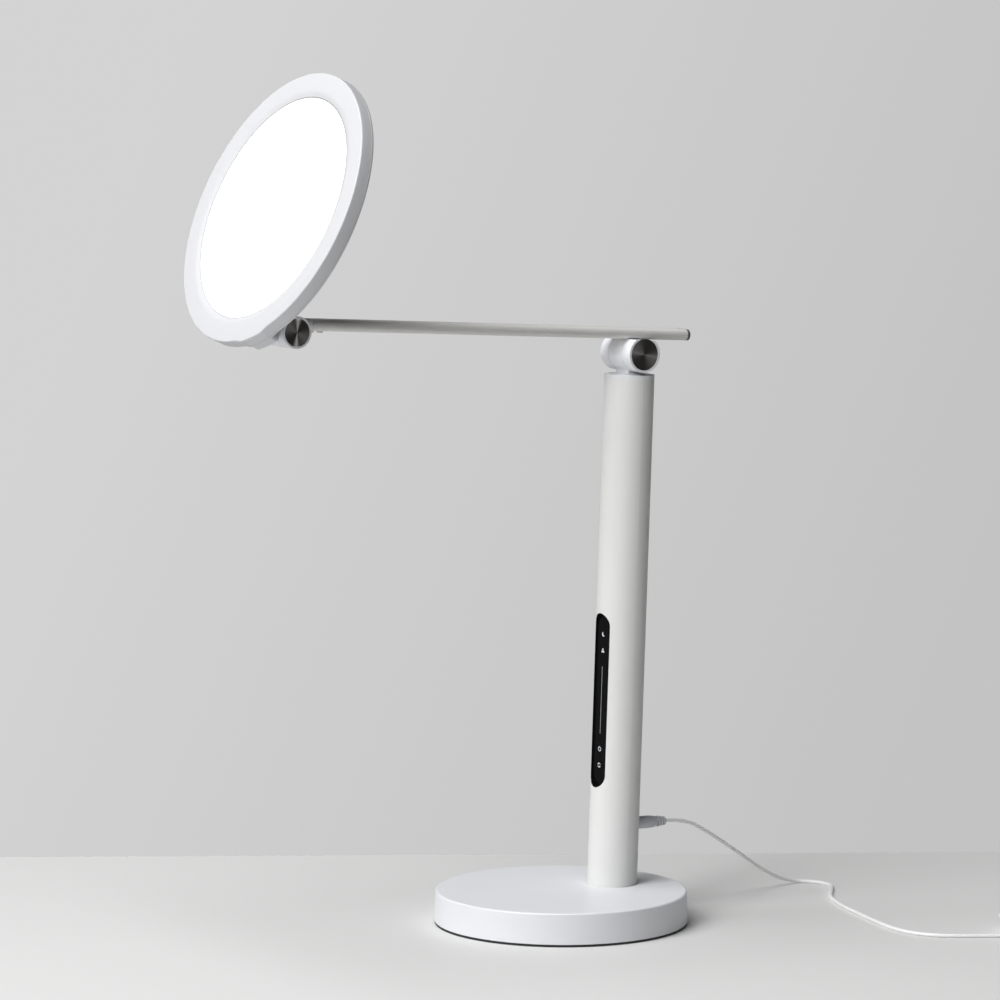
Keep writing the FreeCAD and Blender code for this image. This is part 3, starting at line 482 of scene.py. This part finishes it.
def rounded_corner(radius, height, bend, start, end, steps=5):
    """Points of a small arc about (radius, height), from one angle to another in degrees."""
    for step in range(steps + 1):
        angle = math.radians(start + (end - start) * step / steps)
        yield radius + bend * math.cos(angle), height + bend * math.sin(angle)


def band(made, first, second):
    """Ring of faces between two loops of the same number of points."""
    for step in range(len(first)):
        after = (step + 1) % len(first)
        made.faces.new([first[step], first[after], second[after], second[step]])


def around(x, z, radius, angle):
    return x + radius * math.cos(angle), z + radius * math.sin(angle)


def axis_frame(point, way):
    """A place whose Z axis runs along the way."""
    return Matrix.Translation(point) @ way.normalized().to_track_quat("Z", "Y").to_matrix().to_4x4()


# Cord
def coil_crossings():
    """Radius and height of the coil where each half turn ends."""
    step = (COIL_OUTER - COIL_INNER) / COIL_TURNS / 2
    radius, height, inwards = COIL_OUTER, 0.0, True
    crossings = [(radius, height)]
    for layer in range(COIL_LAYERS):
        for _ in range(COIL_TURNS * 2 - 1):
            radius += -step if inwards else step
            crossings.append((radius, height))
        if layer < COIL_LAYERS - 1:
            height += COIL_CLIMB
        else:
            radius += step
        crossings.append((radius, height))
        inwards = not inwards
    return crossings


def coil_turns(heading, per_half=8):
    """Points of the coil's turns, a fixed number to each half turn, and its straight way out."""
    sideways = heading.cross(Vector((0, 0, 1)))
    middle = COIL_START - sideways * COIL_OUTER
    crossings = coil_crossings()
    points = []
    for half, ((radius, height), (after, higher)) in enumerate(zip(crossings, crossings[1:])):
        for step in range(per_half):
            share = step / per_half
            angle = math.pi * (half + share)
            reach = radius + (after - radius) * share
            swell = reach / math.cos(math.pi / per_half / 2) ** 2
            points.append(middle + sideways * math.cos(angle) * swell + heading * math.sin(angle) * swell
                          + Vector((0, 0, height + (higher - height) * share)))
    last, top = crossings[-1]
    half_turns = len(crossings) - 1
    way = heading * (1 if half_turns % 2 == 0 else -1)
    leaving = middle + sideways * last * math.cos(math.pi * half_turns) + Vector((0, 0, top))
    return points, leaving, way


def cord_line():
    heading = COLUMN.to_3x3() @ Vector((0, 1, 0))
    start = COLUMN @ Vector((0, CORD_REACH * MM, CORD_HEIGHT * MM)) / MM
    points = [start, start + heading * 19.0] + [Vector(spot) for spot in CORD_ROUTE]
    heading = (COIL_START - points[-1]).normalized()
    turns, leaving, way = coil_turns(heading)
    points += turns
    points += [leaving, leaving + way * COIL_TAIL * 0.5, leaving + way * COIL_TAIL]
    return [point * MM for point in points]


class LAMP_OT_studio(bpy.types.Operator):
    """Set the camera, the table, the wall's colour and the lights"""
    bl_idname = "lamp.studio"
    bl_label = "Studio"

    def execute(self, context):
        self.camera(context)
        self.table()
        self.lights()
        self.wall(context)
        context.scene.view_settings.view_transform = "Standard"
        return {"FINISHED"}

    def camera(self, context):
        lens = bpy.data.cameras.new("photo_camera")
        lens.sensor_width = 36.0
        lens.lens = studio().lens
        camera = bpy.data.objects.new("photo_camera", lens)
        context.scene.collection.objects.link(camera)
        right = Vector((0.53958, 0.84193, 0.00364))
        upward = Vector((-0.10106, 0.06047, 0.99304))
        back = Vector((0.83585, -0.53619, 0.11771))
        camera.matrix_world = Matrix.Translation((3.31354, -2.18478, 0.80885)) @ Matrix(
            (right, upward, back)).transposed().to_4x4()
        context.scene.camera = camera

    def table(self):
        """Table top whose straight back edge meets the wall, as far behind the lamp as in the picture."""
        edge_left = Vector((-0.4786, -0.2555, 0))
        edge_right = Vector((-0.0510, 0.4842, 0))
        along = (edge_right - edge_left).normalized()
        forward = Vector((along.y, -along.x, 0))
        middle = (edge_left + edge_right) / 2
        half_width, reach = 3.0, 4.0
        made = bmesh.new()
        left, right = middle - along * half_width, middle + along * half_width
        corners = [left, right, right + forward * reach, left + forward * reach]
        made.faces.new([made.verts.new(corner) for corner in corners])
        bmesh.ops.subdivide_edges(made, edges=made.edges, cuts=3, use_grid_fill=True)
        finish = Finish("table_top")
        cloud = finish.noise(2.0, 2.0)
        grain = finish.noise(700.0, 2.0)
        material = finish.surface(Base_Color=finish.shade(cloud, studio().table, 0.97),
                                  Roughness=0.55 + (grain - 0.5) * 0.1,
                                  Normal=finish.bump(grain, 0.01 * MM))
        new_object("table_top", mesh_of(made, "table_top"), [material])

    def lights(self):
        focus = Vector((0, -0.05, 0.3))
        for name, toward, distance, size, power in (
                ("key_light", (0.20, -0.85, 0.60), 3.4, 2.0, studio().key_power),
                ("top_light", (0.00, -0.40, 0.95), 2.8, 2.2, studio().top_power)):
            panel = bpy.data.lights.new(name, "AREA")
            panel.shape = "SQUARE"
            panel.size = size
            panel.energy = power
            lamp = bpy.data.objects.new(name, panel)
            bpy.context.scene.collection.objects.link(lamp)
            lamp.matrix_world = axis_frame(focus + Vector(toward).normalized() * distance, Vector(toward))
            lamp.visible_camera = False

    def wall(self, context):
        """The wall seen behind the lamp, with painted shade that darkens it towards the picture's right and
        lower down.
        The light that falls on the lamp is dimmer and comes mostly from the picture's left, and reflections
        see the wall at part of its strength."""
        world = bpy.data.worlds.new("studio_wall")
        world.use_nodes = True
        context.scene.world = world
        finish = Finish("studio_wall", world.node_tree)
        way = finish.node("ShaderNodeTexCoord", output="Generated")
        across, upward = (finish.node("ShaderNodeVectorMath", {"operation": "DOT_PRODUCT"},
                                      {0: way, 1: axis}, output="Value")
                          for axis in ((0.5400, 0.8417, 0.0), (0.0, 0.0, 1.0)))
        # Painted shade: the wall's colour runs from the lighter left tone to the darker right tone, towards
        # the picture's right and lower down
        place = finish.clamp(across * 5.1 - upward * 2.0 + 0.264)
        side = finish.clamp(0.5 - across * 0.75)
        colour = finish.mix(place, studio().wall_lit_left, studio().wall_shaded_right)
        seen = finish.node("ShaderNodeBackground", None, {"Color": colour, "Strength": 1.0})
        shine = finish.node("ShaderNodeBackground", None,
                            {"Color": (1, 1, 1, 1), "Strength": side * (2 * studio().ambient)})
        rays = finish.node("ShaderNodeLightPath")
        camera, glossy, through = (Signal(finish, rays.socket.node.outputs[name])
                                   for name in ("Is Camera Ray", "Is Glossy Ray", "Is Transmission Ray"))
        reflected = 0.45
        shown = finish.clamp(camera + glossy * reflected + through)
        mixed = finish.node("ShaderNodeMixShader", None, {0: shown, 1: shine, 2: seen})
        finish.node("ShaderNodeOutputWorld", None, {"Surface": mixed})


class LAMP_OT_power_cord(bpy.types.Operator):
    """Lay the power cord from the plug over the table to its coil and the wall adapter"""
    bl_idname = "lamp.power_cord"
    bl_label = "Power cord"

    def execute(self, context):
        points = cord_line()
        curve = bpy.data.curves.new("power_lead", "CURVE")
        curve.dimensions = "3D"
        curve.bevel_depth = sizes().cord_width / 2
        curve.bevel_resolution = 6
        curve.resolution_u = 8
        curve.use_fill_caps = True
        line = curve.splines.new("NURBS")
        line.points.add(len(points) - 1)
        for spot, point in zip(line.points, points):
            spot.co = (*point, 1)
        line.order_u = 3
        line.use_endpoint_u = True
        lead = bpy.data.objects.new("power_lead", curve)
        context.scene.collection.objects.link(lead)
        curve.materials.append(soft_sheath("cord_sheath", colours().cord))
        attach(lead, "base")
        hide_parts("power_cord", "cord_coil")
        return {"FINISHED"}


class LAMP_OT_cord_plug(bpy.types.Operator):
    """Turn the moulded plug with its ribbed and tapered strain relief"""
    bl_idname = "lamp.cord_plug"
    bl_label = "Cord plug"

    def execute(self, context):
        body, length, relief = sizes().plug_radius, sizes().plug_length, sizes().relief_length
        neck = sizes().cord_width / 2
        outline = [(0, 0), (body - 0.5 * MM, 0)]
        outline += rounded_corner(body - 0.5 * MM, 0.5 * MM, 0.5 * MM, -90, 0)
        outline += [(body, length * 0.62), (body * 0.97, length * 0.75)]
        outline += [(body * 0.90, length * 0.90), (body * 0.78, length), (body * 0.62, length + 0.5 * MM)]
        ribs = 3
        pitch = relief / (ribs + 0.25)
        for rib in range(ribs):
            start = length + 0.5 * MM + pitch * rib
            root = body * 0.62 - 0.28 * MM * rib
            crest = body * 0.86 - 0.42 * MM * rib
            outline += [(root, start + pitch * 0.15), (crest - 0.12 * MM, start + pitch * 0.24)]
            outline += [(crest, start + pitch * 0.36), (crest, start + pitch * 0.66)]
            outline += [(crest - 0.12 * MM, start + pitch * 0.80), (root, start + pitch * 0.90)]
        end = length + relief
        outline += [(neck + 0.35 * MM, end - 0.3 * MM), (neck + 0.05 * MM, end), (0, end)]
        mesh = turned(outline, sizes().round_steps, "cord_plug", 50.0)
        place = COLUMN @ Matrix.Translation((0, 20.3 * MM, CORD_HEIGHT * MM))
        place = place @ Matrix.Rotation(-math.pi / 2, 4, "X")
        plug = new_object("cord_plug", mesh, [moulded("plug_moulding", colours().plug, rough=0.5)], place)
        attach(plug, "base")
        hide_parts("dc_plug")
        return {"FINISHED"}


class LAMP_OT_spun_caps(bpy.types.Operator):
    """Turn the dark metal caps on both ends of both hinges"""
    bl_idname = "lamp.spun_caps"
    bl_label = "Spun hinge caps"

    def execute(self, context):
        # Angles, in degrees, of each cap's painted light sectors and painted streak, and the painted
        # streak's strength
        for name, place, reach, radius, painted_lobe, painted_streak, gain in (
                ("hinge_cap", ARM, 20.7, 12.5, -28.0, 172.0, 0.15),
                ("head_cap", ARM_END, 15.0, 10.8, -30.0, 88.0, 0.85)):
            material = spun_metal(f"{name}_metal", colours().cap, painted_lobe, painted_streak, gain)
            mesh = turned(self.outline(radius * MM), sizes().round_steps, name, 60.0)
            mesh.materials.append(material)
            for side, label in ((1, "right"), (-1, "left")):
                at = place @ Matrix.Translation((side * (reach - 1.0) * MM, 0, 0))
                at = at @ Matrix.Rotation(side * math.pi / 2, 4, "Y")
                cap = new_object(f"{name}_disc_{label}", mesh, [], at)
                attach(cap, "arm")
                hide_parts(f"{name}_{label}")
        return {"FINISHED"}

    def outline(self, radius):
        """Flat back, rounded rim and a slightly dished face with turned rings."""
        thick, dish = 1.0 * MM, sizes().cap_dish
        points = [(0, 0), (radius, 0), (radius, thick - 0.3 * MM)]
        points += [(radius - 0.12 * MM, thick - 0.09 * MM), (radius - 0.35 * MM, thick)]
        points += [(radius - 0.75 * MM, thick), (radius - 0.95 * MM, thick - 0.16 * MM)]
        reach = radius - 1.0 * MM
        steps = int(reach / (sizes().groove_step / 2))
        for step in range(steps):
            here = reach * (1 - step / steps)
            sunk = dish * (1 - (here / reach) ** 2) * 0.6 + 0.16 * MM
            points.append((here, thick - sunk - (step % 2) * sizes().groove_depth))
        points.append((0, thick - dish * 0.6 - 0.16 * MM))
        return points


class LAMP_OT_hinge_rings(bpy.types.Operator):
    """Fill the gaps of the arm hinge with friction rings, flat on top under the arm bar"""
    bl_idname = "lamp.hinge_rings"
    bl_label = "Hinge rings"
    start = 8.62 * MM
    thick = 0.76 * MM
    inner = 4.1 * MM
    outer = 14.2 * MM
    bevel = 0.15 * MM
    flat = 11.2 * MM

    def execute(self, context):
        made = bmesh.new()
        steps = sizes().round_steps
        worn = self.outer - self.bevel
        for side in (1, -1):
            near, across = side * self.start, side * self.thick
            loops = [[made.verts.new((reach, y, min(z, self.flat)))
                      for y, z in (around(0, 0, radius, FULL_TURN * step / steps) for step in range(steps))]
                     for reach, radius in ((near, self.inner), (near, worn),
                                           (near + across * 0.2, self.outer),
                                           (near + across * 0.8, self.outer),
                                           (near + across, worn), (near + across, self.inner))]
            for first, second in zip(loops, loops[1:] + loops[:1]):
                band(made, first, second)
        mesh = mesh_of(made, "hinge_rings", 50.0)
        rings = new_object("hinge_rings", mesh, [moulded("ring_moulding", colours().hinge, rough=0.4)], ARM)
        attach(rings, "arm")
        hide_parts("hinge_washers")
        return {"FINISHED"}


class LAMP_OT_head_shell(bpy.types.Operator):
    """Mould the head's front ring, its back and the housing of its swivel, with one smooth chin"""
    bl_idname = "lamp.head_shell"
    bl_label = "Head shell"
    # Millimetres, but for the chin's reach and fade, which are degrees from its middle
    steps = 288
    rim = 111.0
    wall = 2.5
    seam = 9.5
    depth = 12.0
    edge = 1.3
    back = 18.0
    swivel = 93.5
    half = 14.0
    chin_bulge = 2.0
    chin_reach = 11.0
    chin_fade = 5.5
    bore_steps = 48
    foot_start = 10.4
    nut_top = 14.0
    nut_room = 8.2
    pin_room = 5.2

    def execute(self, context):
        # The head's shell takes the darker bezel colour: painted shade against the stage's light on the head
        finish = moulded("white_bezel_painted_shade", colours().bezel, rough=0.46)
        for name, mesh, node in (("front_ring", self.ring(), "head_bezel"),
                                 ("head_back", self.cover(), "head_back_cover"),
                                 ("swivel_housing", self.housing(), None)):
            shell = new_object(name, mesh, [finish], PANEL)
            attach(shell, "head")
            if node:
                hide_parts(node)
        return {"FINISHED"}

    def swell(self, angle):
        """How far the chin stands beyond the rim, at an angle from its middle."""
        away = abs(math.degrees(angle))
        share = max(0.0, min(1.0, (self.chin_reach - away) / self.chin_fade))
        return self.chin_bulge * share * share * (3 - 2 * share)

    def front_outline(self):
        """Points of (radius, height, share of the chin's swell), from the opening round to the seam."""
        points = [(90.9, 1.47, 0), (91.5, 1.40, 0), (93.0, 0.85, 0), (94.5, 0.35, 0), (96.0, 0.08, 0)]
        points += [(97.5, 0.0, 0), (103.0, 0.0, 0), (107.0, 0.0, 0.4), (self.rim - 1.1, 0.0, 1)]
        points += [(radius, height, 1)
                   for radius, height in rounded_corner(self.rim - 1.0, 1.0, 1.0, -80, 0)]
        points += [(self.rim, 5.0, 1), (self.rim, self.seam - 0.2, 1), (self.rim - 0.2, self.seam, 1)]
        return points + [(self.rim - self.wall, self.seam, 1), (self.rim - self.wall, 1.5, 0.6),
                         (100.0, 1.5, 0)]

    def swept(self, made, points):
        """Loops of the outline run round the head; the chin swells each point by its share."""
        loops = []
        for radius, height, share in points:
            loop = []
            for step in range(self.steps):
                angle = FULL_TURN * step / self.steps
                turn = angle if angle <= math.pi else angle - FULL_TURN
                reach = (radius + share * self.swell(turn)) * MM
                loop.append(made.verts.new((reach * math.sin(angle), -reach * math.cos(angle), height * MM)))
            loops.append(loop)
        return loops

    def bored(self, made, outer, inner):
        """Flat face between a loop and the hole in it."""
        edges = []
        for loop in (outer, inner):
            for first, second in zip(loop, loop[1:] + loop[:1]):
                edges.append(made.edges.get((first, second)) or made.edges.new((first, second)))
        bmesh.ops.triangle_fill(made, use_beauty=True, edges=edges, normal=(0, 0, 1))

    def bore(self, made, radius, height):
        """Loop round the swivel's axis."""
        return [made.verts.new((x * MM, (y - self.swivel) * MM, height * MM))
                for x, y in (around(0, 0, radius, FULL_TURN * step / self.bore_steps)
                             for step in range(self.bore_steps))]

    def ring(self):
        made = bmesh.new()
        loops = self.swept(made, self.front_outline())
        for first, second in zip(loops, loops[1:] + loops[:1]):
            band(made, first, second)
        return mesh_of(made, "front_ring", 32.0)

    def cover(self):
        """Back plate with a rounded edge and the hole that the swivel's nut sits in."""
        made = bmesh.new()
        points = [(self.rim - self.wall, self.seam, 1), (self.rim - 0.2, self.seam + 0.04, 1),
                  (self.rim, self.seam + 0.24, 1)]
        corner = rounded_corner(self.rim - self.edge, self.depth - self.edge, self.edge, 0, 90)
        points += [(radius, height, 1) for radius, height in corner]
        loops = self.swept(made, points)
        for first, second in zip(loops, loops[1:]):
            band(made, first, second)
        low, high = (self.bore(made, self.nut_room, height) for height in (self.seam, self.depth))
        band(made, low, high)
        self.bored(made, loops[0], low)
        self.bored(made, loops[-1], high)
        return mesh_of(made, "head_back", 32.0)

    def housing(self):
        """Lump that carries the swivel: round towards the head's middle, its foot flush with the chin."""
        made = bmesh.new()
        levels = [(self.foot_start, 2.6), (12.0, 2.4), (12.2, 1.5), (12.6, 0.8), (13.2, 0.3),
                  (14.0, 0.0), (15.6, 0.0), (16.8, -0.1), (17.4, -0.4), (17.8, -1.0), (self.back, -2.0)]
        loops = [[made.verts.new((x * MM, y * MM, height * MM)) for x, y in self.foot(flare)]
                 for height, flare in levels]
        for first, second in zip(loops, loops[1:]):
            band(made, first, second)
        holes = [self.bore(made, radius, height)
                 for radius, height in ((self.nut_room, self.foot_start), (self.nut_room, self.nut_top),
                                        (self.pin_room, self.nut_top), (self.pin_room, self.back))]
        for first, second in zip(holes, holes[1:]):
            band(made, first, second)
        self.bored(made, loops[0], holes[0])
        self.bored(made, loops[-1], holes[-1])
        return mesh_of(made, "swivel_housing", 40.0)

    def foot(self, flare):
        """Outline of the housing at one level, its corners cut until they are smooth."""
        grown = self.half + flare
        spots = [around(0, -self.swivel, grown, math.radians(angle)) for angle in range(0, 181, 15)]
        edge = self.rim + self.chin_bulge - max(0.0, -flare)
        reach = self.half - 0.6
        spots += [(-grown, -self.swivel - 6.0)]
        spots += [(x, -math.sqrt(edge * edge - x * x)) for x in
                  (reach * share for share in (-1, -0.6, 0, 0.6, 1))]
        spots += [(grown, -self.swivel - 6.0)]
        for _ in range(3):
            spots = [(near[0] * share + far[0] * (1 - share), near[1] * share + far[1] * (1 - share))
                     for near, far in zip(spots, spots[1:] + spots[:1]) for share in (0.75, 0.25)]
        return spots


class LAMP_OT_strip_symbols(bpy.types.Operator):
    """Print the plain symbols and the slider line on the control strip"""
    bl_idname = "lamp.strip_symbols"
    bl_label = "Strip symbols"
    strip_face = 16.4 * MM
    moon_at = 201.7 * MM
    dots_at = 188.4 * MM
    slider_high = 175.5 * MM
    slider_low = 122.1 * MM
    power_at = 109.6 * MM
    cycle_at = 96.4 * MM

    def execute(self, context):
        self.points = {}
        self.patches = []
        self.half = sizes().symbol_stroke / 2
        self.moon(self.moon_at)
        self.three_dots(self.dots_at)
        self.slider(self.slider_low, self.slider_high)
        self.power(self.power_at)
        self.cycle(self.cycle_at)
        mesh = mesh_of(self.raised(sizes().symbol_rise), "strip_symbols", 30.0)
        for patch in mesh.polygons:
            on_slider = self.slider_low - MM < patch.center.z < self.slider_high + MM
            patch.material_index = 1 if on_slider else 0
        place = COLUMN @ Matrix.Translation((0, -self.strip_face, 0))
        inks = [symbol_print("symbol_ink", colours().symbol), symbol_print("slider_ink", colours().slider)]
        print_layer = new_object("strip_symbols", mesh, inks, place)
        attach(print_layer, "base")
        return {"FINISHED"}

    def patch(self, spots):
        """Keep a flat face by the numbers of its points; a point that faces share has one number."""
        self.patches.append([self.points.setdefault(spot, len(self.points)) for spot in spots])

    def raised(self, rise):
        """Thin closed layer over the flat faces, built in an order that is the same on every run."""
        made = bmesh.new()
        flat = [made.verts.new((x, 0, z)) for x, z in self.points]
        risen = [made.verts.new((x, -rise, z)) for x, z in self.points]
        sides = {}
        for patch in self.patches:
            made.faces.new([flat[number] for number in patch])
            made.faces.new([risen[number] for number in reversed(patch)])
            for first, second in zip(patch, patch[1:] + patch[:1]):
                if sides.pop((second, first), None) is None:
                    sides[(first, second)] = True
        for first, second in sides:
            made.faces.new([flat[second], flat[first], risen[first], risen[second]])
        return made

    def arc(self, radius, height, start, end, steps=18):
        """Band of the stroke's width round (0, height), from one angle to another in degrees."""
        angles = [math.radians(start + (end - start) * step / steps) for step in range(steps + 1)]
        inner = [around(0, height, radius - self.half, angle) for angle in angles]
        outer = [around(0, height, radius + self.half, angle) for angle in angles]
        for step in range(steps):
            self.patch([inner[step], outer[step], outer[step + 1], inner[step + 1]])

    def disc(self, x, z, radius, steps=20):
        self.patch([around(x, z, radius, FULL_TURN * step / steps) for step in range(steps)])

    def moon(self, height, radius=1.9 * MM, steps=20):
        """Crescent that opens to the upper right."""
        tilt = math.radians(35)
        outer, inner = [], []
        for step in range(steps + 1):
            angle = math.radians(65) + math.radians(230) * step / steps
            outer.append(around(0, 0, radius, angle))
        first, last = Vector(outer[0]), Vector(outer[-1])
        middle = (first + last) / 2
        chord = (last - first).length / 2
        bulge = radius * 0.62
        across = (first - last).normalized()
        inward = (-middle).normalized()
        for step in range(steps + 1):
            share = math.pi * step / steps
            spot = middle + across * chord * math.cos(share) + inward * bulge * math.sin(share)
            inner.append((spot.x, spot.y))
        for step in range(steps):
            ring = [outer[step], outer[step + 1], inner[step + 1], inner[step]]
            corners = list(dict.fromkeys((round(x, 8), round(y, 8)) for x, y in ring))
            if len(corners) > 2:
                self.patch([(x * math.cos(tilt) - y * math.sin(tilt),
                             height + x * math.sin(tilt) + y * math.cos(tilt)) for x, y in corners])

    def three_dots(self, height):
        for angle in (90, 210, 330):
            self.disc(*around(0, height, 1.15 * MM, math.radians(angle)), 0.85 * MM)

    def slider(self, low, high):
        half = 0.3 * MM
        caps = [around(0, high, half, angle) for angle in (0, 0.8, 1.57, 2.34, 3.14)]
        feet = [around(0, low, half, angle) for angle in (3.14, 3.94, 4.71, 5.48, 6.28)]
        self.patch(caps + feet)

    def power(self, height):
        self.arc(1.75 * MM, height, 125, 415)
        half = self.half
        self.patch([(-half, height + 0.5 * MM), (half, height + 0.5 * MM),
                    (half, height + 2.2 * MM), (-half, height + 2.2 * MM)])

    def cycle(self, height):
        """Two curved arrows that follow each other."""
        for start in (20, 200):
            self.arc(1.6 * MM, height, start, start + 120)
            tip = math.radians(start + 150)
            root = math.radians(start + 118)
            self.patch([around(0, height, 0.85 * MM, root), around(0, height, 2.45 * MM, root),
                        around(0, height, 1.6 * MM, tip)])


class LAMP_OT_finishes(bpy.types.Operator):
    """Give every solid of the frame its finish"""
    bl_idname = "lamp.finishes"
    bl_label = "Finishes"

    def execute(self, context):
        dressed = set()
        for material, names in shell_finishes().items():
            for name in names:
                slots = NODES[name].material_slots
                for slot in slots:
                    slot.link = "OBJECT"
                    slot.material = material
                dressed.add(name)
        bare = [name for name, node in NODES.items() if name not in dressed and not node.hide_render]
        if bare:
            raise RuntimeError(f"no finish for {sorted(bare)}")
        return {"FINISHED"}


class LAMP_PT_sidebar(bpy.types.Panel):
    """List of the lamp's pieces"""
    bl_idname = "LAMP_PT_sidebar"
    bl_label = "Light therapy lamp"
    bl_space_type = "VIEW_3D"
    bl_region_type = "UI"
    bl_category = "Lamp"

    def draw(self, context):
        for operator in OPERATORS:
            self.layout.operator(operator.bl_idname)
        for group in (sizes(), colours(), studio()):
            column = self.layout.column(align=True)
            for name in group.bl_rna.properties.keys():
                if name not in ("rna_type", "name"):
                    column.prop(group, name)


OPERATORS = (LAMP_OT_studio, LAMP_OT_cord_plug, LAMP_OT_power_cord, LAMP_OT_spun_caps, LAMP_OT_hinge_rings,
             LAMP_OT_head_shell, LAMP_OT_strip_symbols, LAMP_OT_finishes)
GROUPS = {"lamp_sizes": LampSizes, "lamp_colours": LampColours, "lamp_studio": StudioSettings}


def register():
    for group in GROUPS.values():
        bpy.utils.register_class(group)
    for operator in OPERATORS:
        bpy.utils.register_class(operator)
    bpy.utils.register_class(LAMP_PT_sidebar)
    for name, group in GROUPS.items():
        setattr(bpy.types.Scene, name, PointerProperty(type=group))


def unregister():
    for name in GROUPS:
        delattr(bpy.types.Scene, name)
    bpy.utils.unregister_class(LAMP_PT_sidebar)
    for operator in reversed(OPERATORS):
        bpy.utils.unregister_class(operator)
    for group in GROUPS.values():
        bpy.utils.unregister_class(group)


def main():
    register()
    bpy.ops.lamp.studio()
    bpy.ops.lamp.cord_plug()
    bpy.ops.lamp.power_cord()
    bpy.ops.lamp.spun_caps()
    bpy.ops.lamp.hinge_rings()
    bpy.ops.lamp.head_shell()
    bpy.ops.lamp.strip_symbols()
    bpy.ops.lamp.finishes()


if __name__ == "__main__":
    main()
